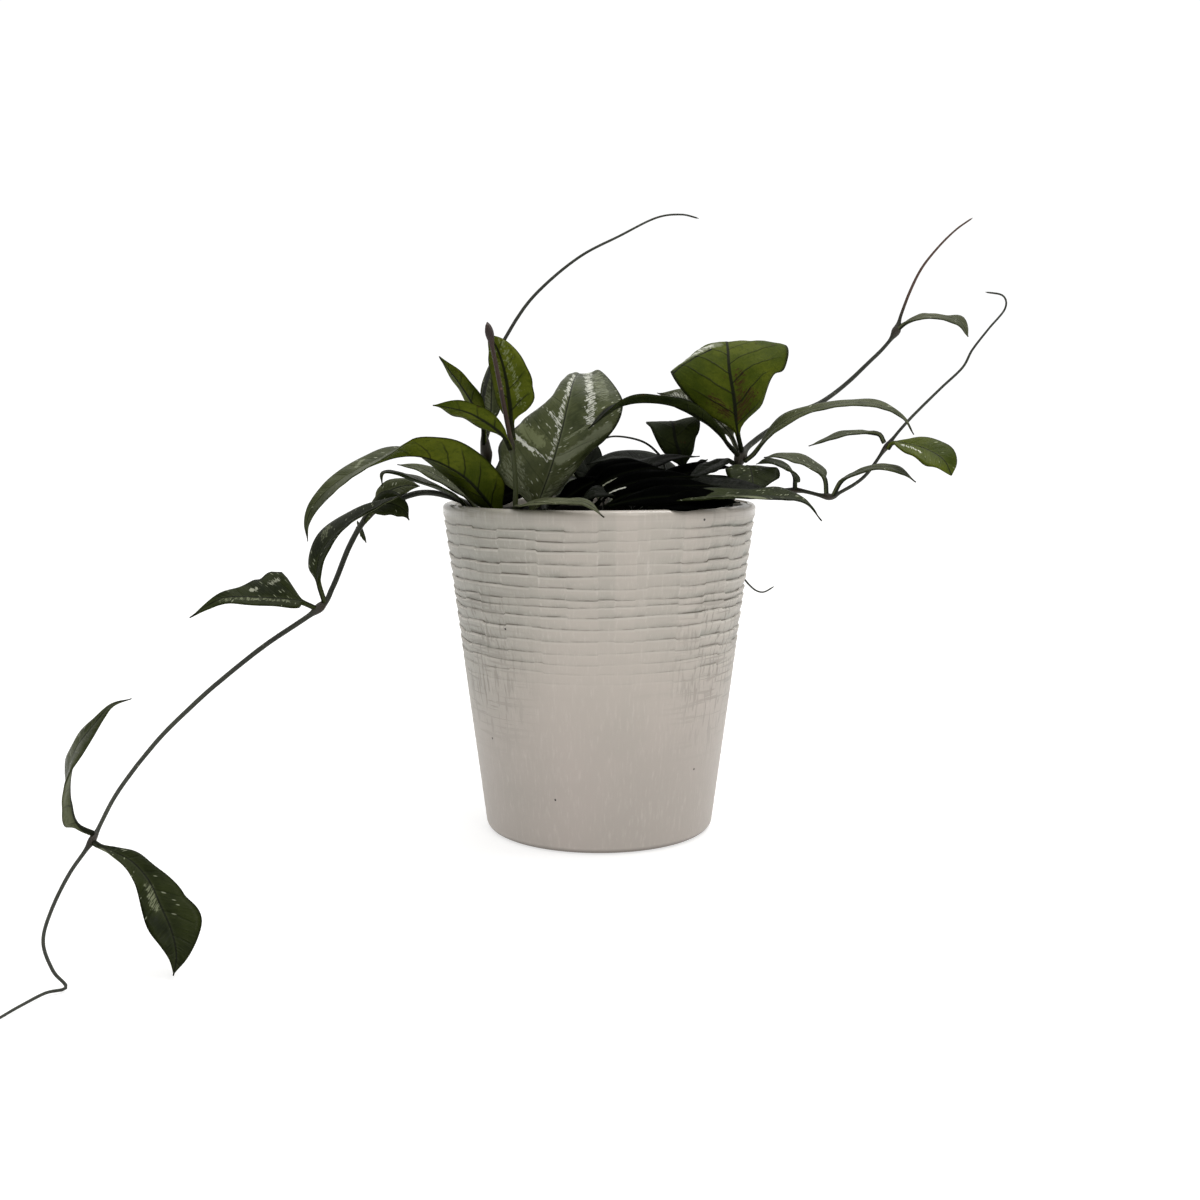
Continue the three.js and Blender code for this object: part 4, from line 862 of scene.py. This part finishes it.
def glaze_material():
    """Satin stone-coloured glaze: painted highlights on the ledges, greener painted shade in the hollows
    and on the left, and painted shadow in creases, cuts, inside and at the foot.
    """
    shader = new_shader("glaze_satin", GLAZE)
    place = shader.place()
    crease_shadow, lit_ledge, shaded_hollow, strip, seam, inside_shade = map(shader.held, POT_VALUES)
    across, up = shader.uv("wall")
    x, _, height = shader.parts("SeparateXYZ", place)
    grain, cuts, relief = glaze_relief(shader, across, height)
    # Painted shade on the pot's left side, strongest high up
    shaded_left_side = x.ease(-0.055, -0.01, 0.5, 0.0) * height.ease(0.03, 0.1, 0.5, 1.0)
    upper = height.ease(0.07, 0.12)
    blotch = shader.drawn_noise((5.0, 16.0), 16.0, 4.0, 0.6).ease(0.3, 0.7, 0.35, 1.0)
    broken = shader.drawn_noise((5.0, 20.0), 26.0, 3.0).ease(0.4, 0.6, 0.1, 1.0)
    patchy = grain.ease(0.45, 0.7) * height.ease(0.134, 0.139, 0.35, 0.0)
    holes = pinholes(shader, shader.join(across, up))
    shader.coat(height.fall(0.02, 0.1), GLAZE_LOW)
    # Random greener tone, and greener painted shade on the pot's left side
    shader.coat(shader.noise(place, 14.0, 4.0).ease(0.35, 0.7, 0.0, 0.25) + shaded_left_side, GLAZE_GREEN_AND_SHADE)
    shader.coat(strip * upper, GLAZE_GREEN_AND_SHADE)
    # Painted shade, greener towards the bottom of each band
    shader.coat(shaded_hollow * blotch, GLAZE_GREEN_AND_SHADE)
    shader.coat(grain.ease(0.5, 0.75, 0.0, 0.25), GLAZE_WEAR_AND_HIGHLIGHT)
    # Painted highlight along the top ledge of each band
    shader.coat(lit_ledge * 0.85, GLAZE_WEAR_AND_HIGHLIGHT)
    # Painted shadow in the crease under each band
    shader.coat(crease_shadow * broken, GLAZE_SHADOW)
    # Painted shade in the cuts of the woven grid
    shader.coat(cuts * 0.4, GLAZE_SHADOW)
    shader.coat(seam * upper * patchy, GLAZE_WEAR_AND_HIGHLIGHT)
    shader.coat(holes, GLAZE_HOLE)
    # A painted contact shadow in a thin line along the bottom of the foot
    shader.coat(height.ease(0.0008, 0.003, 0.8, 0.0), GLAZE_SHADOW)
    # Painted shade over the inside of the pot, in the soil's darkest colour
    shader.coat(inside_shade, SOIL_DARK)
    roughness = height.ease(0.1405, 0.1445, 0.48, 0.16).math("MAXIMUM", inside_shade)
    return shader.finish(roughness, shader.bump(relief - holes, 0.3, 0.0006))


def soil_material(name, dark, light, scale):
    """Damp crumbly bark soil."""
    shader = new_shader(name, dark)
    place = shader.place()
    lumps = shader.noise(place, scale, 6.0, 0.7)
    far, own = shader.cells(place, scale * 3.0)
    shader.coat(lumps.ease(0.35, 0.7), light)
    shader.coat(own[1].ease(0.6, 1.0, 0.0, 0.6), light)
    return shader.finish(lumps.ease(0.3, 0.7, 0.75, 0.95), shader.bump(lumps - far, 0.8, 0.0015))


def floor_material():
    """Plain matt white paper, lit from below like a light table."""
    shader = new_shader("paper_white", FLOOR_GREYS[0])
    fibres = shader.noise(shader.place(), 900.0, 4.0)
    shader.coat(fibres.ease(0.3, 0.7), FLOOR_GREYS[1])
    return shader.finish(0.9, shader.bump(fibres, 0.05, 0.0002), Specular_IOR_Level=0.1,
                         Emission_Color=WHITE, Emission_Strength=FLOOR_GLOW)


# Leaves
def outline(s, widest, point):
    """Half width of a blade as a share of its widest: an ellipse drawn out at the tip."""
    turn = math.pi * s ** (math.log(0.5) / math.log(widest))
    return np.maximum(np.sin(turn), 0) ** (0.75 + point * s)


def lobe(s, shares):
    """How full one half of a blade is at a fraction of its length, eased between six places."""
    place = np.clip(s * 5, 0, 4.999)
    low = place.astype(int)
    shares = np.array(shares, float)
    return shares[low] + (shares[low + 1] - shares[low]) * smooth(place - low)


def half_widths(s, u, leaf):
    """Half width of the blade for each row and column, the petiole included."""
    left, right = (lobe(s, shares)[:, None] for shares in leaf["lobes"])
    share = np.where((u < 0)[None, :], left, right)
    even = leaf["width"] / 2 * outline(s, leaf["widest"], leaf["point"])
    least = PETIOLE_RADIUS + (TIP_HALF_WIDTH - PETIOLE_RADIUS) * s
    return np.maximum(even[:, None] * share, least[:, None])


def leaf_frames(leaf):
    """The frames along a leaf, its length and the share of it that is petiole."""
    frames = carried_frames(leaf["rib"], leaf["face"], leaf["twist"], RIB_STEPS)
    return frames, frames[3], min(leaf["stalk"] / frames[3], 0.3)


def blade_spot(leaf, across, along):
    """Place on a blade in mm across and along, from shares of its half width and its length."""
    _, length, stalk = leaf_frames(leaf)
    half = half_widths(np.array([along]), np.array([across]), leaf)[0, 0]
    return across * half, (stalk + (1 - stalk) * along) * length


def blade_columns(width):
    """Places across a blade from -1 to 1, closer together at the midrib."""
    half = int(np.clip(round(width / 2 / COLUMN_STEP), 4, 15))
    even = np.arange(-half, half + 1) / half
    return even * (0.6 + 0.4 * np.abs(even))


def leaf_rows(length, stalk):
    """Fractions of a leaf's length, from its foot to its tip, that crowd a little towards the tip."""
    rows = int(np.clip(round(length * (1 - stalk) / ROW_STEP), 24, 64))
    neck = max(3, round(stalk * length / NECK_STEP))
    t = np.arange(rows + 1) / rows
    blade = stalk + (1 - stalk) * (t + 0.35 * t * (1 - t))
    return np.concatenate([np.arange(neck) / neck * stalk, blade])


def bent_section(u, s, half, leaf):
    """Points of a blade's sections, its leaning angle and its half thickness, one row per section."""
    on_left = (u < 0)[None, :]
    left, right = ((start + (end - start) * s)[:, None] for start, end in (leaf["left"], leaf["right"]))
    ripple = RIPPLE * np.sin(math.pi * (5 * s[:, None] + np.where(on_left, 0.6, 0.0)))
    bend = np.where(on_left, left, right) + ripple
    reach = np.abs(u)[None, :]
    x = np.zeros((len(s), len(u)))
    y = np.zeros_like(x)
    for i in range(BEND_STEPS):
        tilt = np.radians(leaf["fold"] + bend * reach * (i + 0.5) / BEND_STEPS)
        x += half * reach / BEND_STEPS * np.cos(tilt)
        y += half * reach / BEND_STEPS * np.sin(tilt)
    lean = np.where(reach == 0, 0.0, np.radians(leaf["fold"] + bend * reach))
    body = (BLADE_THICK + (EDGE_THICK - BLADE_THICK) * reach) / 2 * np.sqrt(1 - reach**8)
    body = body * (1 - 0.55 * smooth((s - 0.75) / 0.25))[:, None]
    return np.sign(u)[None, :] * x, y, lean, body


def blade_relief(u, s, spread, along, width):
    """How high the blade is puckered between its veins, and how deep the midrib sinks and stands out."""
    phase = (along - spread * VEIN_RISE) / VEIN_SPACING + np.where(u > 0, VEIN_OFFSET, 0.0)[None, :]
    swell = np.cos(2 * math.pi * phase) * np.sin(math.pi * np.abs(u))[None, :]
    size = min(width / 24, 1.0)
    groove = GROOVE * size * np.exp(-((spread / 0.9) ** 2)) * (1 - s)[:, None] ** 0.5
    ridge = RIDGE * size * np.exp(-((spread / 0.8) ** 2)) * (1 - s)[:, None] ** 0.8
    return PUCKER * swell * min(width / 30, 1), groove, ridge


def leaf_mesh(leaf):
    """Vertices, faces, face slots and both sets of coordinates of one leaf."""
    frames, length, stalk = leaf_frames(leaf)
    places = leaf_rows(length, stalk)
    s = np.clip((places - stalk) / (1 - stalk), 0, 1)
    flat = smooth(s / BLADE_START)[:, None]
    u = blade_columns(leaf["width"])
    half = half_widths(s, u, leaf)
    x, y, lean, body = bent_section(u, s, half, leaf)
    point, side, face = frames_at(frames, places)
    spread = np.abs(u)[None, :] * half
    along = (places * length)[:, None] + 0 * spread
    quilt, groove, ridge = blade_relief(u, s, spread, along, leaf["width"])
    turn = math.pi * (1 - np.arange(len(u)) / (len(u) - 1))[None, :]
    round_x, round_y = PETIOLE_RADIUS * np.cos(turn), PETIOLE_RADIUS * np.sin(turn)

    def skin(sign, depth):
        thick = body * sign
        flat_x = x - np.sign(u)[None, :] * thick * np.sin(lean)
        flat_y = y + quilt + thick * np.cos(lean) + depth
        mixed_x = round_x + (flat_x - round_x) * flat
        mixed_y = sign * round_y + (flat_y - sign * round_y) * flat
        return point[:, None] + side[:, None] * mixed_x[..., None] + face[:, None] * mixed_y[..., None]

    def around(top, bottom):
        return np.concatenate([top, bottom[..., -2:0:-1]], axis=-1)

    rings = np.concatenate([skin(1, -groove), skin(-1, -ridge)[:, -2:0:-1]], axis=1)
    columns = len(u) - 1
    slots = ([0] * columns + [1] * columns) * (len(places) - 1) + [0, 0]
    across = around(u, u)
    rows = 0 * across + s[:, None]
    blade = np.stack(np.broadcast_arrays(across / 2 + 0.5, rows), axis=-1)
    reach = np.stack([across * around(half, half) / 100, 0 * across + along[:, :1] / 100], axis=-1)
    return rings.reshape(-1, 3), tube_faces(len(places), 2 * columns), slots, blade, reach


def build_leaf(title, leaf, skins, node=None):
    """A leaf with its two skins and the coordinates that they read."""
    vertices, faces, slots, blade, reach = leaf_mesh(leaf)
    thing = make_object(title, vertices, faces, skins, slots)
    add_uv(thing, "blade", blade)
    add_uv(thing, "reach", reach)
    dress(thing, node)


def leaf_skins(name, leaf, shared):
    """The upper and under material of a leaf: its own where it has marks, else a shared one."""
    skins = []
    for look, (title, looks, all_marks, make) in zip(LEAF_LOOKS.get(name, PLAIN_LOOK), SKIN_KINDS):
        if name in all_marks:
            skins.append(make(title + name, looks[look], leaf, all_marks[name]))
            continue
        if title + look not in shared:
            shared[title + look] = make(title + look, looks[look])
        skins.append(shared[title + look])
    return skins


def build_leaves():
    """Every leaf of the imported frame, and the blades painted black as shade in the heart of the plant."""
    shared = {}
    for name, own in LEAVES.items():
        leaf = PLAIN_LEAF | own
        build_leaf("leaf_fine_" + name, leaf, leaf_skins(name, leaf, shared), "leaf_" + name)
    # The crown blades are painted near black as shade, with a few painted glints
    shadow_black = UPPER_LOOKS["shadow_black"]
    top = upper_material("crown_top", shadow_black)
    for i, rib in enumerate(CROWN_RIBS):
        leaf = PLAIN_LEAF | {"rib": rib} | CROWN_LEAF
        own = i in CROWN_GLINTS
        upper = upper_material(f"crown_top_{i}", shadow_black, leaf, CROWN_GLINTS[i]) if own else top
        build_leaf(f"crown_blade_{i}", leaf, [upper, shared["leaf_under_dim"]])


# Both skins of a leaf: title, looks, marks and how they are made
SKIN_KINDS = (
    ("leaf_top_", UPPER_LOOKS, LEAF_MARKS, upper_material),
    ("leaf_under_", UNDER_LOOKS, UNDER_MARKS, under_material),
)


# Vines
def vine_radii(name, vine, s, length):
    """Radius and swelling of a vine at fractions of its length, with a rounded tip."""
    root, tip = vine["radius"]
    tip = tip if name == "shoot_red" else min(tip, VINE_TIP)
    radius = root + (tip - root) * s
    knots = [(where, size, KNOT_REACH) for where, size in vine.get("knots", [])]
    swollen = 0 * s
    for where, size, reach in knots + BUDS.get(name, []):
        swelling = np.exp(-(((s - where) * length / reach) ** 2))
        radius += size * swelling
        swollen = np.maximum(swollen, swelling)
    return radius * np.sqrt(np.clip((1 - s) * length / VINE_ROUND, 0.04, 1.0)), swollen


def build_vine(name, vine, material, dice):
    """A round stem with swollen knots and an uneven bark."""
    length = spaced_points(vine["path"], 100)[1]
    steps = max(12, round(length / VINE_STEP))
    s = np.arange(steps + 1) / steps
    point, side, up = frames_at(carried_frames(vine["path"], VINE_FACE, 0, steps), s)
    radius, swollen = vine_radii(name, vine, s, length)
    turn = np.arange(VINE_SIDES) / VINE_SIDES * 2 * math.pi
    wobble = np.array([[dice.uniform(-1, 1) for _ in range(VINE_SIDES)] for _ in range(steps + 1)])
    wobble = (wobble + np.roll(wobble, 1, 0) + np.roll(wobble, -1, 0) + np.roll(wobble, 1, 1)) / 4
    wide = radius[:, None] * (1 + VINE_WOBBLE * wobble)
    rings = (point[:, None] - side[:, None] * (wide * np.cos(turn))[..., None]
             + up[:, None] * (wide * np.sin(turn))[..., None])
    faces = [face[::-1] for face in tube_faces(steps + 1, VINE_SIDES)]
    thing = make_object("vine_fine_" + name, rings.reshape(-1, 3), faces, [material])
    spots = np.broadcast_arrays(turn / math.pi, (s * length)[:, None] / 10)
    add_uv(thing, "bark", np.stack(spots, axis=-1))
    add_value(thing, "knot", np.repeat(swollen, VINE_SIDES))
    dress(thing, name)


def build_vines(dice):
    """Every vine, with a bark of its own where it is tinted."""
    bark = vine_material("plain", "vine")
    for name, vine in VINES.items():
        tint = BARK_TINTS.get(name)
        look = "shoot" if name == "shoot_red" else "vine"
        build_vine(name, vine, vine_material(name, look, tint) if tint else bark, dice)


# Pot
def pot_radius(z):
    """Radius of the pot's outside at a height, without its bands."""
    return FOOT_RADIUS + (RIM_RADIUS - FOOT_RADIUS) * z / POT_HEIGHT


def seam_strips(dice):
    """For each column round the pot: its angle from the front, its strip and whether it is a seam."""
    seams = list(SEAMS)
    while seams[-1] < SEAMS[0] + SEAMS_ROUND:
        seams.append(seams[-1] + dice.uniform(*SEAM_STEP))
    degrees = np.arange(POT_COLUMNS) / POT_COLUMNS * 360
    marks = np.sort(np.mod(np.array(seams), 360))
    strip = np.searchsorted(marks, degrees) % len(marks)
    near = np.abs(degrees[:, None] - marks[None, :]).min(axis=1)
    return (degrees + 180) % 360 - 180, strip, (near < 180 / POT_COLUMNS).astype(float)


def by_strip(dice, strip, low, high):
    """One random value for each strip, spread over its columns."""
    return np.array([dice.uniform(low, high) for _ in range(strip.max() + 1)])[strip]


def band_strength(degrees, height):
    """How deep the bands are: worn smooth right of the front and low down in the middle."""
    worn = np.exp(-(((degrees - 15) / 15) ** 2)) * smooth((height - 100) / 20)
    low = np.exp(-((degrees / 26) ** 2)) * smooth((118 - height) / 30)
    side = np.exp(-(((np.abs(degrees) - 68) / 30) ** 2))
    return 1 - 0.8 * worn - 0.75 * low + 0.5 * side


def band_rows(edges, depths):
    """Rows of the stacked bands, each widest at its top: radius, height, and the painted crease shadow,
    ledge highlight and hollow shade.
    """
    rows = []
    for low, high, depth, above in zip(edges, edges[1:], depths, depths[1:]):
        for t in BAND_PLACES:
            z = low + (high - low) * t
            if t < BAND_LEDGE:
                sunk = depth * (1 - t / BAND_LEDGE) ** 1.5
                lit_ledge = 0 * z
            else:
                sunk = above * (t - BAND_LEDGE) / (1 - BAND_LEDGE)
                lit_ledge = above / BAND_DEPTH
            crease_shadow = max(0.0, 1 - t / BAND_CREASE) * depth / BAND_DEPTH
            shaded_hollow = (1 - t) ** 1.6 * depth / BAND_DEPTH
            rows.append((pot_radius(z) - sunk, z, crease_shadow, lit_ledge, shaded_hollow))
    return rows


def banded_wall(dice, degrees, strip):
    """Rows of the stacked bands, which wave and break from strip to strip."""
    angle = np.radians(degrees)
    lean = by_strip(dice, strip, *STRIP_LEAN)
    edges, depths = [], []
    for i, z in enumerate(BAND_EDGES):
        wave = sum(size * np.sin(angle * turns + i * shift) for size, turns, shift in BAND_WAVES)
        edges.append(z + wave + lean + by_strip(dice, strip, *STRIP_SHIFT))
        fade = float(smooth((i + 1) / BANDS_FADING))
        strength = fade * band_strength(degrees, z)
        depths.append(BAND_DEPTH * strength * by_strip(dice, strip, *STRIP_DEPTH))
    return band_rows(edges + [BANDS_TOP + 0 * angle], depths + [0 * angle])


def build_pot(material, dice):
    """The glazed pot: rounded foot and rim, and bands that wave and break at upright seams."""
    degrees, strip, seam = seam_strips(dice)
    angle = np.radians(degrees)
    flat = 0 * angle

    def plain(radius, height):
        return flat + radius, flat + height, flat, flat, flat

    rows = [plain(*spot) for spot in UNDERSIDE]
    for turn in np.linspace(0, math.pi / 2, 9):
        rows.append(plain(FOOT_RADIUS - FOOT_INSET + FOOT_ROUND * math.sin(turn),
                          FOOT_ROUND - FOOT_ROUND * math.cos(turn)))
    for z in np.linspace(*PLAIN_WALL, 26):
        rows.append(plain(pot_radius(z) + PLAIN_WAVE * np.sin(angle * 7 + z), z))
    rows += banded_wall(dice, degrees, strip)
    tone = by_strip(dice, strip, *STRIP_TONE)
    for turn in np.linspace(0, math.pi, 11):
        rows.append(plain(RIM_RADIUS - RIM_INSET + RIM_ROUND * math.cos(turn),
                          POT_HEIGHT - RIM_ROUND + RIM_ROUND * math.sin(turn)))
    inside = [plain(pot_radius(z) - WALL, z) for z in np.linspace(CAVITY_TOP, SOIL_TOP - 4, 10)]
    inside += [plain(*spot) for spot in CAVITY]
    radii, heights, *values = np.moveaxis(np.array(rows + inside), 1, 0)
    rings = np.stack([radii * np.sin(angle), -radii * np.cos(angle), heights], axis=-1)
    count = len(rings)
    thing = make_object("pot_fine", rings.reshape(-1, 3), tube_faces(count, POT_COLUMNS), [material])
    # Rows inside the pot get painted shade
    shaded_inside = (np.arange(count) > count - len(inside)).astype(float)[:, None]
    for key, value in zip(POT_VALUES, (*values, tone, seam, shaded_inside)):
        add_value(thing, key, np.broadcast_to(value, heights.shape))
    around = degrees * WALL_PER_DEGREE + 0 * heights
    add_uv(thing, "wall", np.stack([around, heights / WALL_UNIT], axis=-1))
    dress(thing, "pot")


# Soil
def soil_ring(radius, angle, height):
    """Points round the pot's axis at one radius."""
    return np.stack([radius * np.sin(angle), -radius * np.cos(angle), 0 * angle + height], axis=-1)


def build_soil(material, dice):
    """Crumbly soil that fills the pot to just under the rim."""
    columns, rows = SOIL_GRID
    wall = pot_radius(SOIL_TOP) - WALL - 0.4
    angle = np.arange(columns) / columns * 2 * math.pi
    waves = [[dice.uniform(0, 6.28) for _ in range(4)] for _ in range(SOIL_WAVES)]
    base = (*SOIL_BASE, (wall - 0.6, SOIL_TOP - 1.5))
    rings = [soil_ring(r, angle, z) for r, z in base]
    for i in range(rows + 1):
        r = wall * (1 - i / rows) + 0.5
        x, y = r * np.sin(angle), -r * np.cos(angle)
        bumps = 0 * angle
        for k, (a, b, _, _) in enumerate(waves):
            f = 0.12 + 0.035 * k
            bumps += np.sin(f * (x * math.cos(a) + y * math.sin(a)) + b) / (1.5 + 0.25 * k)
        edge = 1 - (r / wall) ** 6
        crown = SOIL_TOP - 0.6 + SOIL_CROWN * (1 - (r / wall) ** 2)
        rings.append(soil_ring(r, angle, crown + SOIL_ROUGHNESS * bumps * edge))
    faces = tube_faces(len(rings), columns)
    thing = make_object("soil_fine", np.array(rings).reshape(-1, 3), faces, [material])
    dress(thing, "soil")


def build_chips(material, dice):
    """Bits of bark that lie in the soil's top."""
    vertices, faces = [], []
    for _ in range(CHIP_COUNT):
        r, turn = CHIP_SPREAD * math.sqrt(dice.random()), dice.uniform(0, 2 * math.pi)
        size = [dice.uniform(*span) for span in CHIP_SIZES]
        spin = dice.uniform(0, math.pi)
        faces += tube_faces(len(CHIP_LEVELS), CHIP_SIDES, len(vertices))
        lift = SOIL_TOP + SOIL_CROWN * (1 - (r / 63) ** 2) - 0.3
        for level, shrink in CHIP_LEVELS:
            for k in range(CHIP_SIDES):
                a = k / CHIP_SIDES * 2 * math.pi
                jag = dice.uniform(*CHIP_JAG) * shrink
                px, py = size[0] * jag * math.cos(a), size[1] * jag * math.sin(a)
                vertices.append((r * math.cos(turn) + px * math.cos(spin) - py * math.sin(spin),
                                 r * math.sin(turn) + px * math.sin(spin) + py * math.cos(spin),
                                 lift + level * size[2] + dice.uniform(*CHIP_LIFT)))
    dress(make_object("soil_chips", vertices, faces, [material], smooth_shaded=False))


# Stage
def build_camera():
    """The camera, and colours shown as they are."""
    scene = bpy.context.scene
    camera = bpy.data.objects.new("camera", bpy.data.cameras.new("camera"))
    camera.location = [value * MM for value in CAMERA_PLACE]
    camera.rotation_euler = (math.radians(90 - CAMERA_PITCH), 0, 0)
    camera.data.lens = CAMERA_LENS
    camera.data.sensor_width = CAMERA_SENSOR
    camera.data.clip_start = 0.01
    scene.collection.objects.link(camera)
    scene.camera = camera
    scene.view_settings.view_transform = "Standard"
    scene.view_settings.look = "None"


def build_floor():
    """A white floor."""
    signs = ((-1, -1), (1, -1), (1, 1), (-1, 1))
    corners = [(x * FLOOR_HALF, y * FLOOR_HALF, FLOOR_LEVEL) for x, y in signs]
    make_object("floor", corners, [(0, 1, 2, 3)], [floor_material()], smooth_shaded=False)


def area_light(name, place, target, size, power, colour):
    """A soft square light aimed at a point; place and target in metres."""
    data = bpy.data.lights.new(name, "AREA")
    data.shape = "RECTANGLE"
    data.size, data.size_y = size
    data.energy = power
    data.color = colour
    lamp = bpy.data.objects.new(name, data)
    lamp.location = place
    away = np.array(place) - np.array(target)
    yaw = math.atan2(away[1], away[0])
    lamp.rotation_euler = (math.atan2(math.hypot(away[0], away[1]), away[2]), 0, yaw + math.pi / 2)
    bpy.context.scene.collection.objects.link(lamp)


def build_world():
    """A white room: bright overhead and behind, dim in front."""
    world = bpy.data.worlds.new("room")
    bpy.context.scene.world = world
    shader = Shader(world)
    _, back, up = shader.parts("SeparateXYZ", shader.place("Generated"))
    level = back.ease(-0.4, 0.9, *ROOM_FRONT_BACK) + up.ease(0.2, 1.0, 0.0, ROOM_TOP)
    room = shader.value("Background", 0, {"Color": ROOM_COLOUR, "Strength": level})
    white = shader.value("Background", 0, {"Color": WHITE, "Strength": BACKDROP})
    seen = shader.value("LightPath", "Is Camera Ray", {})
    shader.node("OutputWorld", {0: shader.value("MixShader", 0, {0: seen, 1: room, 2: white})})


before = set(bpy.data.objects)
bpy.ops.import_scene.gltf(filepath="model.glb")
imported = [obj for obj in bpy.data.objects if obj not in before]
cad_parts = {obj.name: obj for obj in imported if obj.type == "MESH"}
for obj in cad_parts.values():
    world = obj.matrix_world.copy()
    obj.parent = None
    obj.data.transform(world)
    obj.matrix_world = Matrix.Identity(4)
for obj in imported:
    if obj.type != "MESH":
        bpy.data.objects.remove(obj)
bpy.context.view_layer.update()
dice = random.Random(SEED)
build_camera()
build_floor()
build_world()
for lamp in LAMPS:
    area_light(*lamp)

build_leaves()
build_vines(dice)
build_pot(glaze_material(), dice)
build_soil(soil_material("soil_damp", SOIL_DARK, SOIL_LIGHT, 220.0), dice)
build_chips(soil_material("bark_chips", CHIP_DARK, CHIP_LIGHT, 400.0), dice)
